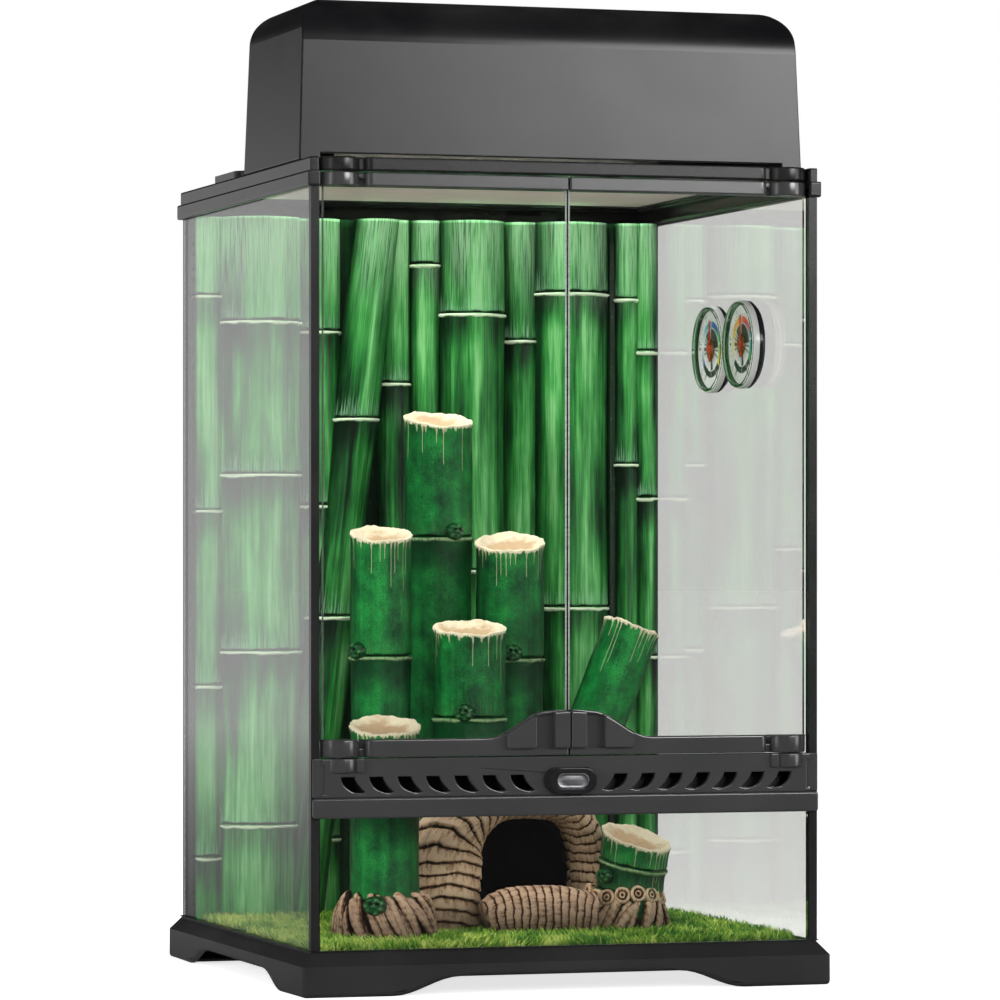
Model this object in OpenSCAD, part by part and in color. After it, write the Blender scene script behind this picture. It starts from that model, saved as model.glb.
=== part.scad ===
/* [Tank] */
// Width and depth of the base frame
base_w = 300; // [298:1:304]
// Height of the base frame
base_h = 24.5; // [24:0.5:26]
// Width and depth over the outer faces of the glass
glass_w = 286; // [285:0.5:287]
// Thickness of every pane
glass_t = 4; // [4:0.1:4]
// Height of the rim's top face
rim_top = 448; // [446:1:452]

/* [Front bars] */
// Front plane of the rails, the header and the ventilation bar
bar_front = -147; // [-147.5:0.5:-146.5]
// Bottom of the channel over the lower front glass
channel_bottom = 95; // [93:1:96]
// Bottom of the ventilation bar
vent_bottom = 106.2; // [106:0.1:107]
// Bottom of the doors' lower rails
door_bottom = 127.5; // [127:0.5:128]
// Bottom of the doors' upper rails
door_rail_top_bottom = 432.3; // [432:0.1:433]
// Distance of the hinge axis from the middle
hinge_x = 127; // [126:0.5:127]
// Radius of the hinge ears
ear_r = 11.3; // [11:0.1:11.4]
// Number of ventilation slots on each side of the lock
slots_per_side = 7; // [5:1:7]

/* [Light hood] */
// Half width of the hood at its foot
hood_half = 144; // [142:0.5:144]
// Front of the hood
hood_front = -120; // [-122:1:-118]
// Back of the hood
hood_back = -2; // [-4:1:0]
// Height of the hood's top
hood_top = 537; // [533:1:540]
// Wall thickness of the hood
hood_wall = 2.5; // [2:0.1:3]

/* [Gauges] */
// Outer radius of a gauge
gauge_r = 24.7; // [23:0.1:25]
// Depth of a gauge with its clear lens
gauge_depth = 12.8; // [12:0.1:13]

/* [Hidden] */

$fn = 64;
frame_black = "#2b2b2c";
bar_grey = "#4c4b4d";
glass_tint = [0.80, 0.90, 0.86, 0.35];
steel = "#b9b6ae";
cane_green = "#1f7a3a";
cane_light = "#4aa34f";
root_brown = "#8a6a48";
grass_green = "#6f8f35";

// Tank
base_half = base_w / 2;
glass_half = glass_w / 2;
inner_half = glass_half - glass_t;
fit_gap = 0.2;
ledge_top = 16;
ledge_t = 4;
ledge_in = 128;
skirt_t = 3.2;
chamfer_z = 16.5;
foot_len = 50;
arch_run = 38;
arch_h = 9.8;
foot_pad = 44;
foot_pad_t = 2.5;
pane_top = 436.8;
strip_half = 144;
strip_top = 431.8;

// Rim
rim_low = 432;
rim_step = 440.5;
rim_half_low = 146;
rim_half_up = 144.3;
lip_in = 136;
lip_low = 433;
shelf_in = 131;
shelf_back = 123;
shelf_top = 442;
screen_half = 141;
screen_front = -133;
screen_back = 125;
screen_top = rim_top - 0.1;
mesh_half = 131.5;
mesh_gap = 0.1;
header_bottom = 440.6;
header_back = -133.4;

// Hinges
hinge_y = -138.2;
ear_back = -134.5;
bar_back = -136;
notch_y = -142.5;
flat_half = 114;
flat_round = 3.5;
pin_r = 2;
pin_bore_r = 2.06;

// Doors
door_gap = 0.4;
door_rail_top = 440;
door_glass_edge = 136.8;
groove_front = -143.1;
groove_back = -138.9;
handle_low = 137;
handle_top = 151.5;
handle_half = 47;
handle_flat = 12;
grip_front = -150;
grip_low = 131.5;

// Ventilation bar and lock
vent_top = 127;
slot_first = 26.5;
slot_pitch = 15.8;
slot_half_w = 6.75;
slot_half_h = 4.35;
slot_z = 112.7;
lock_z = 114;
lock_front = -153.4;
lock_shaft_r = 2.5;
cam_reach = 16.2;
cam_front = -141.4;
cam_back = -139;

// Cable inlets
inlet_x = 64;
inlet_w = 20;
inlet_low = 438.9;
inlet_high = 445.9;
cover_x = 64;
cover_open_x = 90;
cover_w = 22;

// Hood
hood_foot = rim_top + 0.15;
hood_draft = 2;
hood_round_front = 25;
hood_round_back = 14;
hood_round_side = 18;
lamp_z = 479;
lamp_y = -60;
socket_plate = 136;
boss_y = [-111, -11];
boss_x = [-80, 80];
flange_z = 458;
gland_x = -100;
gland_z = 470;
gland_r = 3.5;
gland_plate = 12;
switch_x = 95;
switch_z = 490;

// Background and decor
mat_top = 22.4;
decor_z = 22.5;
panel_back = 133.5;
panel_half = 138.6;
panel_top = 432.4;
roof_z = 104;
// Each stalk: x, y, radius, and the heights of its nodes
stalks = [
    [-131, 125, 12, [60, 160, 262, 387]],
    [-100, 122, 25, [79, 180, 283, 372]],
    [-66, 124, 12.5, [70, 161, 265, 367]],
    [-22, 122, 10.5, [96, 210, 337]],
    [-2, 121, 10, [130, 270, 407]],
    [25, 118, 20.5, [80, 227, 378]],
    [56, 120, 11.5, [110, 240, 363]],
    [86, 118, 24, [66, 205, 391]],
    [119, 108, 8, [90, 180, 290, 388]],
    [130, 106, 7.5, [60, 176, 270, 357]]
];
leaning_stalk_r = 13;
leaning_stalk_tilt = 6.5;
leaning_stalk_x = -33;
leaning_stalk_y = 116;
stalk_node_h = 2.4;
stalk_node_out = 0.9;

near_gauge = [-54, 354.5];
far_gauge = [-3, 353.7];
gauge_mouth = 7.4;

// A box given by its lowest and highest corners
module box(lo, hi) {
    translate(lo) cube(hi - lo);
}

// A flat shape drawn in X and Z, carried along Y
module along_y(y0, y1) {
    translate([0, y1, 0]) rotate([90, 0, 0]) linear_extrude(y1 - y0) children();
}

// A flat shape drawn in Y and Z, carried along X
module along_x(x0, x1) {
    translate([x0, 0, 0]) rotate([90, 0, 90]) linear_extrude(x1 - x0) children();
}

module both_sides() {
    children();
    mirror([1, 0, 0]) children();
}

module four_corners(x, y) {
    for (sx = [-1, 1], sy = [-1, 1]) translate([sx * x, sy * y, 0]) children();
}

// Cylinder whose axis runs along Y between two planes
module rod_y(x, z, r, y0, y1) {
    translate([x, y1, z]) rotate([90, 0, 0]) cylinder(h = y1 - y0, r = r);
}

module rod_x(y, z, r, x0, x1) {
    translate([x0, y, z]) rotate([0, 90, 0]) cylinder(h = x1 - x0, r = r);
}

// Height of an S curve that climbs from 0 to 1 while t goes from 0 to 1
function ease(t) = (1 - cos(180 * t)) / 2;

module base_outline() {
    polygon([[-base_half, 0], [base_half, 0], [base_half, chamfer_z],
        [glass_half + 0.4, base_h], [-glass_half - 0.4, base_h], [-base_half, chamfer_z]]);
}

module arch_outline() {
    outer = base_half - foot_len;
    inner = outer - arch_run;
    steps = 8;
    left = [for (i = [0:steps]) [-outer + arch_run * i / steps, arch_h * ease(i / steps)]];
    right = [for (i = [steps:-1:0]) [outer - arch_run * i / steps, arch_h * ease(i / steps)]];
    polygon(concat([[-outer, -1]], left, right, [[outer, -1]]));
}

module base_frame() {
    seat = glass_half + fit_gap;
    hollow = base_half - skirt_t;
    pad = hollow - foot_pad / 2 + 0.5;
    color(frame_black) difference() {
        intersection() {
            along_y(-base_half, base_half) base_outline();
            along_x(-base_half, base_half) base_outline();
        }
        box([-seat, -seat, ledge_top], [seat, seat, base_h + 1]);
        box([-ledge_in, -ledge_in, ledge_top - ledge_t - 0.5], [ledge_in, ledge_in, ledge_top + 0.5]);
        difference() {
            box([-hollow, -hollow, -1], [hollow, hollow, ledge_top - ledge_t]);
            four_corners(pad, pad) translate([-foot_pad / 2, -foot_pad / 2, -2])
                cube([foot_pad, foot_pad, foot_pad_t + 2]);
        }
        along_y(-base_half - 1, base_half + 1) arch_outline();
        along_x(-base_half - 1, base_half + 1) arch_outline();
    }
}

module floor_glass() {
    half = inner_half - fit_gap;
    color(glass_tint) box([-half, -half, ledge_top], [half, half, ledge_top + glass_t]);
}

module side_glass(side) {
    x0 = side < 0 ? -glass_half : inner_half;
    color(glass_tint) box([x0, -inner_half - 0.6, ledge_top], [x0 + glass_t, glass_half, pane_top]);
}

module rear_glass() {
    half = inner_half - fit_gap;
    color(glass_tint) box([-half, inner_half, ledge_top], [half, glass_half, pane_top]);
}

module lower_front_glass() {
    half = inner_half - fit_gap;
    color(glass_tint) box([-half, -glass_half, ledge_top], [half, -inner_half, channel_bottom + 7.5]);
}

module corner_strip(side) {
    inner = inner_half + 0.4;
    x0 = side < 0 ? -strip_half : inner;
    color(frame_black)
        box([x0, -strip_half, base_h + fit_gap], [x0 + strip_half - inner, -inner_half - 0.7, strip_top]);
}

module rear_seals() {
    low = ledge_top + glass_t + 3;
    color(frame_black) both_sides()
        translate([0, 0, low]) linear_extrude(lip_low - low - 0.5)
            polygon([[inner_half, inner_half], [inner_half, inner_half - 4.5], [inner_half - 4.5, inner_half]]);
}

// Plan of a rail that ends in a round ear: ear, flat front and a dip between them
module rail_plan(inner) {
    intersection() {
        translate([hinge_x, hinge_y]) circle(r = ear_r);
        translate([hinge_x - 20, -160]) square([40, 160 + ear_back]);
    }
    translate([inner, notch_y]) square([hinge_x - inner, bar_back - notch_y]);
    translate([inner, bar_front]) square([flat_half - flat_round - inner, bar_back - bar_front]);
    translate([flat_half - flat_round - 1, bar_front + flat_round])
        square([flat_round + 1, bar_back - bar_front - flat_round]);
    translate([flat_half - flat_round, bar_front + flat_round]) circle(r = flat_round);
}

module rim_frame() {
    channel = glass_half + fit_gap;
    cut = 0.5;
    color(frame_black) difference() {
        union() {
            box([-rim_half_low, -rim_half_low, rim_low], [rim_half_low, rim_half_low, rim_step]);
            box([-rim_half_up, -rim_half_up, rim_step], [rim_half_up, rim_half_up, rim_top]);
            both_sides() inlet_track();
            translate([0, 0, header_bottom]) linear_extrude(rim_top - header_bottom) {
                both_sides() rail_plan(0);
                translate([-rim_half_up + cut, bar_back - cut])
                    square([2 * (rim_half_up - cut), header_back - bar_back + cut]);
            }
        }
        // Space for the doors' upper rails
        box([-inner_half - 0.1, -160, rim_low - 1], [inner_half + 0.1, -shelf_in, header_bottom]);
        // In front of the header, between its ears
        difference() {
            box([-inner_half - 0.1, -160, header_bottom - cut], [inner_half + 0.1, bar_back, rim_top + 1]);
            translate([0, 0, header_bottom - 1]) linear_extrude(rim_top) both_sides() rail_plan(-1);
        }
        // Channel that holds the tops of the panes
        difference() {
            box([-channel, -channel, rim_low - 1], [channel, channel, pane_top + 0.4]);
            box([-inner_half + fit_gap, -160, rim_low], [inner_half - fit_gap, inner_half - fit_gap, pane_top + 1]);
        }
        box([-lip_in, -160, rim_low - 1], [lip_in, lip_in, rim_step]);
        box([-inner_half, -160, rim_low - 1], [inner_half, inner_half, lip_low]);
        // Opening under the screen and the seat that carries it
        box([-shelf_in, -shelf_in + 3, rim_step - 1], [shelf_in, shelf_back, rim_top + 1]);
        box([-screen_half - fit_gap, header_back, shelf_top],
            [screen_half + fit_gap, screen_back + 0.4, rim_top + 1]);
        // Hinge pins, catch slots and cable inlets
        both_sides() {
            translate([hinge_x, hinge_y, header_bottom - 1]) cylinder(h = 7, r = pin_r + 0.02);
            box([screen_half - 1, 38, shelf_top + 2.2], [rim_half_up - 0.6, 60, shelf_top + 4.6]);
            inlet_cuts();
        }
    }
}

// Track on the rear of the rim that a cable inlet's cover slides in
module inlet_track() {
    box([inlet_x - 16, glass_half, inlet_low - 2.4], [cover_open_x + 14, 148.5, rim_top]);
}

module inlet_cuts() {
    left = inlet_x - 14;
    right = cover_open_x + 12;
    box([left, 145.2, inlet_low - 1], [right, 146.9, inlet_high + 1]);
    box([left, 146.8, inlet_low], [right, 150, inlet_high]);
    box([inlet_x - inlet_w / 2, 127, inlet_low], [inlet_x + inlet_w / 2, 150, inlet_high]);
    box([inlet_x - inlet_w / 2, 127, lip_low - 1], [inlet_x + inlet_w / 2, lip_in, inlet_high]);
}

module inlet_cover(side) {
    color(frame_black) mirror([side < 0 ? 1 : 0, 0, 0]) {
        box([cover_x - cover_w / 2, 145.35, inlet_low - 0.9], [cover_x + cover_w / 2, 146.75, inlet_high + 0.9]);
        for (i = [-1:1])
            box([cover_x - 0.8 + 5 * i, 146.7, inlet_low + 0.3], [cover_x + 0.8 + 5 * i, 149.2, inlet_high - 0.3]);
    }
}

module slot_outline() {
    steps = 6;
    outer = [for (i = [0:steps])
        [-slot_half_w + 11.2 * (1 - cos(90 * i / steps)), slot_half_h - 2 * slot_half_h * sin(90 * i / steps)]];
    inner = [for (i = [0:steps])
        [slot_half_w - 6.1 * i / steps - 0.9 * sin(180 * i / steps),
            -slot_half_h + 0.6 + (2 * slot_half_h - 0.6) * i / steps]];
    polygon(concat(outer, inner));
}

module vent_bar() {
    half = inner_half - 0.4;
    ear_low = 119.5;
    color(bar_grey) difference() {
        union() {
            box([-glass_half + 6, bar_front, vent_bottom], [glass_half - 6, groove_front - 0.3, vent_top]);
            both_sides()
                box([glass_half - 6.5, -146, vent_bottom], [glass_half + 0.6, -strip_half - 0.2, vent_top]);
            box([-half, bar_front, vent_top - 3.5], [half, bar_back, vent_top]);
            box([-half, bar_front, vent_bottom], [half, bar_back, vent_bottom + 2]);
            both_sides() translate([hinge_x, hinge_y, ear_low]) intersection() {
                cylinder(h = vent_top - ear_low, r = ear_r);
                translate([-20, -20, -1]) cube([40, 20 + ear_back - hinge_y, 20]);
            }
            both_sides() translate([hinge_x - ear_r, bar_front - 1.6, ear_low])
                cube([4, 4, vent_top - ear_low]);
            rod_y(0, lock_z, 5, groove_front - 1, cam_front - 0.4);
        }
        both_sides() for (i = [0:slots_per_side - 1])
            along_y(bar_front - 1, groove_front + 2)
                translate([-slot_first - slot_pitch * i, slot_z]) slot_outline();
        both_sides() translate([hinge_x, hinge_y, ear_low - 1]) cylinder(h = 20, r = pin_r + 0.02);
        rod_y(0, lock_z, lock_shaft_r + 0.06, bar_front - 1, cam_front + 1);
        box([-3.5, cam_front - 0.8, vent_top - 5], [13.5, cam_back + 0.8, vent_top + 1]);
    }
}

module glass_channel() {
    half = inner_half - 0.4;
    top = vent_bottom - fit_gap;
    color(bar_grey) difference() {
        union() {
            box([-glass_half - 0.6, bar_front, channel_bottom], [glass_half + 0.6, -strip_half - 0.2, top]);
            box([-half, -strip_half - 1, channel_bottom], [half, bar_back, top]);
        }
        box([-half - 1, groove_front, channel_bottom - 1], [half + 1, groove_back, channel_bottom + 7.8]);
        box([-half - 1, groove_back - 1, channel_bottom - 1], [half + 1, bar_back + 1, channel_bottom + 2]);
    }
}

module vent_mesh() {
    color(steel) {
        box([-136, -137.6, vent_bottom + 2.1], [136, -137, 119.3]);
        box([-114, -137.6, 119], [114, -137, vent_top - 3.6]);
    }
}

module oval(w, h) {
    for (s = [-1, 1]) translate([s * (w - h) / 2, 0]) circle(d = h);
    square([w - h, h], center = true);
}

module lock_knob() {
    back = bar_front - 0.6;
    steps = 4;
    color(frame_black) difference() {
        for (i = [0:steps - 1]) {
            y1 = back + (lock_front - back) * i / steps;
            y0 = back + (lock_front - back) * (i + 1) / steps;
            along_y(y0, y1) translate([0, lock_z]) oval(30 - i * 1.2, 14.6 - i * 0.35);
        }
        along_y(lock_front - 1, lock_front + 0.7) translate([0, lock_z]) oval(19, 8.4);
    }
}

module lock_shaft() {
    color(steel) rod_y(0, lock_z, lock_shaft_r, bar_front - 0.6, cam_front);
}

module lock_cam() {
    color(steel) {
        rod_y(0, lock_z, 5, cam_front, cam_back);
        box([0, cam_front, lock_z - 2.5], [cam_reach, cam_back, lock_z + 2.5]);
    }
}

module door_glass(side) {
    color(glass_tint) mirror([side < 0 ? 1 : 0, 0, 0])
        box([door_gap, -glass_half, door_bottom + 4.6], [door_glass_edge, -inner_half, 436.4]);
}

module door_top_rail(side) {
    color(bar_grey) mirror([side < 0 ? 1 : 0, 0, 0]) difference() {
        translate([0, 0, door_rail_top_bottom])
            linear_extrude(door_rail_top - door_rail_top_bottom) rail_plan(door_gap);
        box([-1, groove_front, door_rail_top_bottom - 1], [door_glass_edge + 0.2, groove_back, 436.6]);
        translate([hinge_x, hinge_y, 436.8]) cylinder(h = 10, r = pin_bore_r);
    }
}

// Half of the handle: an arched plate that dips at the finger hollow
module handle_outline() {
    steps = 10;
    run = handle_half - handle_flat;
    curve = [for (i = [0:steps])
        [handle_half - run * i / steps, handle_low + (handle_top - handle_low) * ease(i / steps)]];
    polygon(concat([[door_gap, handle_low - 2], [handle_half, handle_low - 2]], curve,
        [[door_gap, handle_top + 0.6]]));
}

module door_handle(side) {
    color(bar_grey) mirror([side < 0 ? 1 : 0, 0, 0]) difference() {
        union() {
            translate([0, 0, door_bottom]) linear_extrude(handle_low - door_bottom) rail_plan(door_gap);
            along_y(bar_front, -glass_half - fit_gap) handle_outline();
            along_y(grip_front, bar_front) intersection() {
                handle_outline_proud();
                union() {
                    translate([door_gap, grip_low]) square([8.6, 30]);
                    translate([19.5, grip_low]) square([16.5, 30]);
                }
            }
        }
        along_y(grip_front - 1, bar_front + 2.2) intersection() {
            translate([9, grip_low]) square([10.5, handle_top - 2 - grip_low]);
            offset_handle();
        }
        box([-1, groove_front, door_bottom + 4.5], [door_glass_edge + 0.2, groove_back, handle_low + 1]);
        box([-1, cam_front - 0.8, door_bottom - 1], [12, cam_back + 0.8, door_bottom + 3.4]);
        translate([hinge_x, hinge_y, door_bottom - 1]) cylinder(h = 4.6, r = pin_bore_r);
    }
}

// The handle's arch, drawn down to the foot of the grips and a little below its top
module handle_outline_proud() {
    translate([0, -1]) handle_outline();
    translate([door_gap, grip_low]) square([handle_half - 11, 5]);
}

module offset_handle() {
    translate([0, -2]) handle_outline();
    translate([0, grip_low]) square([30, 6]);
}

module hinge_pins(side) {
    color(steel) mirror([side < 0 ? 1 : 0, 0, 0]) {
        translate([hinge_x, hinge_y, 437.2]) cylinder(h = 9, r = pin_r);
        translate([hinge_x, hinge_y, 119.7]) cylinder(h = door_bottom + 3.2 - 119.7, r = pin_r);
    }
}

module screen_frame() {
    inner = screen_half - 11;
    front_in = screen_front + 11;
    back_in = screen_back - 6;
    color(frame_black) difference() {
        box([-screen_half, screen_front, shelf_top + 0.1], [screen_half, screen_back, screen_top]);
        box([-inner, front_in, shelf_top - 1], [inner, back_in, screen_top + 1]);
        box([-mesh_half - mesh_gap, front_in - 1.6, shelf_top + 1.5],
            [mesh_half + mesh_gap, back_in + 1.6, shelf_top + 2.5]);
        both_sides() box([mesh_half + 0.7, 39.5, shelf_top + 2.2], [screen_half + 1, 58.5, screen_top + 1]);
    }
}

// Square mesh in one sheet: a plate with rows of square holes
module screen_mesh() {
    nx = 18;
    ny = 16;
    wire = 1;
    y0 = screen_front + 9.5;
    y1 = screen_back - 4.5;
    px = (2 * mesh_half - wire) / nx;
    py = (y1 - y0 - wire) / ny;
    color(steel) translate([0, 0, shelf_top + 1.6]) linear_extrude(0.8) difference() {
        translate([-mesh_half, y0]) square([2 * mesh_half, y1 - y0]);
        for (i = [0:nx - 1], j = [0:ny - 1])
            translate([-mesh_half + wire + i * px, y0 + wire + j * py]) square([px - wire, py - wire]);
    }
}

module screen_catch(side) {
    cap_x = 134;
    cap_w = 16;
    color(frame_black) mirror([side < 0 ? 1 : 0, 0, 0]) {
        translate([cap_x, 49, screen_top + 0.2]) linear_extrude(4.2) rotate(90) oval(58, cap_w);
        box([133, 40, shelf_top + 2.4], [137, 58, screen_top + 0.6]);
        box([133, 40, shelf_top + 2.4], [screen_half - 0.2, 58, shelf_top + 4.3]);
    }
}

// End profile of the hood, in Y and Z, with the wall taken off when it is cut from the inside
module hood_side_profile(wall) {
    lean = tan(hood_draft);
    top = hood_top - wall;
    rf = hood_round_front - wall;
    rb = hood_round_back - wall;
    y0 = hood_front + wall;
    y1 = hood_back - wall;
    h = top - hood_foot;
    cf = [y0 + (h - rf) * lean + rf, top - rf];
    cb = [y1 - (h - rb) * lean - rb, top - rb];
    a = hood_draft;
    polygon([[y0, hood_foot - (wall > 0 ? 1 : 0)], [y1, hood_foot - (wall > 0 ? 1 : 0)],
        cb + rb * [cos(a), sin(a)], cb, cb + [0, rb], cf + [0, rf], cf, cf + rf * [-cos(a), sin(a)]]);
    translate(cf) circle(r = rf);
    translate(cb) circle(r = rb);
}

module hood_front_profile(wall) {
    lean = tan(hood_draft);
    top = hood_top - wall;
    r = hood_round_side - wall;
    x1 = hood_half - wall;
    h = top - hood_foot;
    c = [x1 - (h - r) * lean - r, top - r];
    a = hood_draft;
    polygon([[0, hood_foot - (wall > 0 ? 1 : 0)], [x1, hood_foot - (wall > 0 ? 1 : 0)],
        c + r * [cos(a), sin(a)], c, c + [0, r], [0, top]]);
    translate(c) circle(r = r);
}

module hood_solid(wall) {
    intersection() {
        along_x(-hood_half - 2, hood_half + 2) hood_side_profile(wall);
        along_y(hood_front - 2, hood_back + 2) union() {
            hood_front_profile(wall);
            mirror([1, 0]) hood_front_profile(wall);
        }
    }
}

module hood_shell() {
    pad_back = hood_back - 0.4;
    color(frame_black) difference() {
        union() {
            difference() {
                hood_solid(0);
                hood_solid(hood_wall);
            }
            // Bosses for the reflector's screws, joined to the walls
            for (x = boss_x) {
                translate([x, boss_y[0], flange_z + 1.2]) cylinder(h = 14, r = 4);
                box([x - 3, hood_front + 1.5, flange_z + 1.2], [x + 3, boss_y[0], flange_z + 15.2]);
                translate([x, boss_y[1], flange_z + 1.2]) cylinder(h = 14, r = 4);
                box([x - 3, boss_y[1], flange_z + 1.2], [x + 3, hood_back - 2.5, flange_z + 15.2]);
            }
            // Plates that carry the lamp sockets
            both_sides() rod_x(lamp_y, lamp_z, 19, socket_plate, hood_half - 3);
            // Upright pad for the switch
            box([switch_x - 15, hood_back - 5, switch_z - 12], [switch_x + 15, pad_back, switch_z + 12]);
        }
        box([-hood_half + 12, hood_front - 1, hood_foot - 1], [hood_half - 12, hood_front + 4, hood_foot + 3.5]);
        for (x = boss_x, y = boss_y) translate([x, y, flange_z]) cylinder(h = 12.2, r = 1.52);
        // Notch, open below, that the gland's plate fills
        box([gland_x - gland_plate - 0.05, hood_back - 10, hood_foot - 1],
            [gland_x + gland_plate + 0.05, hood_back + 1, gland_z + gland_plate + 0.05]);
        box([switch_x - 10.1, hood_back - 10, switch_z - 7.1], [switch_x + 10.1, hood_back + 1, switch_z + 7.1]);
        for (i = [-4:4]) box([i * 9 - 1.5, hood_back - 8, 500], [i * 9 + 1.5, hood_back + 1, 518]);
    }
}

module reflector() {
    r = 44;
    t = 0.8;
    cy = (boss_y[0] + boss_y[1]) / 2;
    color("#d9d9d6") difference() {
        along_x(-96, 96) difference() {
            union() {
                translate([cy, flange_z]) circle(r = r);
                translate([boss_y[0] - 4.5, flange_z]) square([boss_y[1] - boss_y[0] + 9, t]);
            }
            translate([cy, flange_z]) circle(r = r - t);
            translate([cy - r - 1, flange_z - r - 1]) square([2 * r + 2, r + 1]);
        }
        for (x = boss_x, y = boss_y) translate([x, y, flange_z - 1]) cylinder(h = 4, r = 1.7);
    }
}

module reflector_screws() {
    color(steel) for (x = boss_x, y = boss_y) translate([x, y, 0]) {
        translate([0, 0, flange_z - 1.7]) cylinder(h = 1.6, r = 2.9);
        translate([0, 0, flange_z - 0.2]) cylinder(h = 10, r = 1.5);
    }
}

module lamp_socket(side) {
    color("#e9e6dd") mirror([side < 0 ? 1 : 0, 0, 0]) translate([socket_plate, lamp_y, lamp_z])
        rotate([0, -90, 0]) rotate_extrude() difference() {
            polygon([[0, 0.1], [18, 0.1], [18, 4], [16.5, 6], [16.5, 26], [15.5, 30], [0, 30]]);
            translate([0, 5]) square([13.3, 26]);
        }
}

// Compact lamp: screw cap, ballast cone and a long glass envelope
module lamp(side) {
    color("#f4f3ee") mirror([side < 0 ? 1 : 0, 0, 0]) translate([socket_plate - 6, lamp_y, lamp_z])
        rotate([0, -90, 0]) rotate_extrude()
            polygon([[0, 0], [4, 0], [6, 2], [13, 3], [13, 24], [15, 27], [19.5, 38], [19.5, 52],
                [18, 54], [18, 104], [16.5, 110], [12, 115], [6, 117.5], [0, 118]]);
}

module switch_frame() {
    face = hood_back + 1.2;
    color("#1d1d1e") difference() {
        union() {
            box([switch_x - 12, hood_back - 0.35, switch_z - 9], [switch_x + 12, face, switch_z + 9]);
            box([switch_x - 10, hood_back - 9, switch_z - 7], [switch_x + 10, hood_back, switch_z + 7]);
        }
        box([switch_x - 8, hood_back - 8, switch_z - 5.8], [switch_x + 8, face + 1, switch_z + 5.8]);
        rod_x(hood_back - 3, switch_z, 1.05, switch_x - 9, switch_x + 9);
    }
}

module switch_rocker() {
    color("#c8322a") {
        along_x(switch_x - 7.6, switch_x + 7.6) translate([hood_back - 3, switch_z]) rotate(-6)
            polygon([[0, -5], [4, -5.1], [5, 0], [4, 5.1], [0, 5], [-2.4, 0]]);
        rod_x(hood_back - 3, switch_z, 1, switch_x - 8.8, switch_x + 8.8);
    }
}

module cable_gland() {
    w = gland_plate;
    color("#1d1d1e") difference() {
        union() {
            // Plate that fills the notch in the hood, with a flange that laps behind the wall
            box([gland_x - w, hood_back - 4.4, hood_foot], [gland_x + w, hood_back - 0.4, gland_z + w]);
            box([gland_x - w - 2, hood_back - 7.35, flange_z + 3],
                [gland_x + w + 2, hood_back - 4.3, gland_z + w + 2]);
            rod_y(gland_x, gland_z, 8, hood_back - 0.45, hood_back + 3);
            rod_y(gland_x, gland_z, 6, hood_back + 2, hood_back + 8);
            rod_y(gland_x, gland_z, 7, hood_back - 9, hood_back - 7.3);
        }
        rod_y(gland_x, gland_z, gland_r, hood_back - 10, hood_back + 9);
    }
}

module stalk(s) {
    translate([s[0], s[1], decor_z]) cylinder(h = panel_top - decor_z, r = s[2]);
    for (z = s[3]) translate([s[0], s[1], z - stalk_node_h / 2])
        cylinder(h = stalk_node_h, r = s[2] + stalk_node_out);
}

module background_panel() {
    color(cane_light) intersection() {
        union() {
            box([-panel_half, 117, decor_z], [panel_half, panel_back, panel_top]);
            box([106, 104, decor_z], [panel_half, panel_back, panel_top]);
            box([134, 92, decor_z], [panel_half, panel_back, panel_top]);
            for (s = stalks) stalk(s);
            translate([leaning_stalk_x, leaning_stalk_y, panel_top]) rotate([0, leaning_stalk_tilt, 0]) {
                translate([0, 0, -300]) cylinder(h = 310, r = leaning_stalk_r);
                for (z = [-118, -232]) translate([0, 0, z])
                    cylinder(h = stalk_node_h, r = leaning_stalk_r + stalk_node_out);
            }
        }
        box([-panel_half, 90, decor_z], [panel_half, panel_back, panel_top]);
    }
}

// A cut cane: foot, height, radius, node heights, and the bud's turn from the front
module stump(foot, top, r, nodes, bud_turn) {
    difference() {
        union() {
            translate([0, 0, foot]) cylinder(h = top - foot, r = r - 0.8);
            for (z = nodes) {
                translate([0, 0, z - 1.2]) cylinder(h = 2.4, r = r);
            }
            rotate(bud_turn) translate([0, -r + 0.5, nodes[len(nodes) - 1] + 3]) sphere(r = 5.6);
        }
        translate([0, 0, top - 3]) cylinder(h = 4, r = r - 5);
    }
}

module tall_stump() {
    color(cane_green) translate([-11.5, 62, 0]) stump(decor_z, 314.5, 20.3, [126, 246], 11);
}

module left_stump() {
    color(cane_green) translate([-60.6, 12, 0]) stump(decor_z, 248, 18.2, [98, 178.5], -64);
}

module right_stump() {
    color(cane_green) translate([23.6, 36, 0]) stump(decor_z, 243.5, 20.4, [90, 176.5], -13);
}

module middle_stump() {
    color(cane_green) translate([-13.1, -5, 0]) stump(roof_z + 0.1, 195, 21, [143.9], -26);
}

module leaning_stump() {
    color(cane_green) difference() {
        translate([50, 0, roof_z]) rotate([0, 21.5, 0]) difference() {
            union() {
                translate([0, 0, -12]) cylinder(h = 110, r = 16.4);
                translate([0, 0, 34]) cylinder(h = 2.4, r = 17.2);
            }
            translate([0, 0, 95]) cylinder(h = 4, r = 12);
        }
        box([0, -40, roof_z - 30], [110, 40, roof_z + 0.1]);
    }
}

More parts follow.
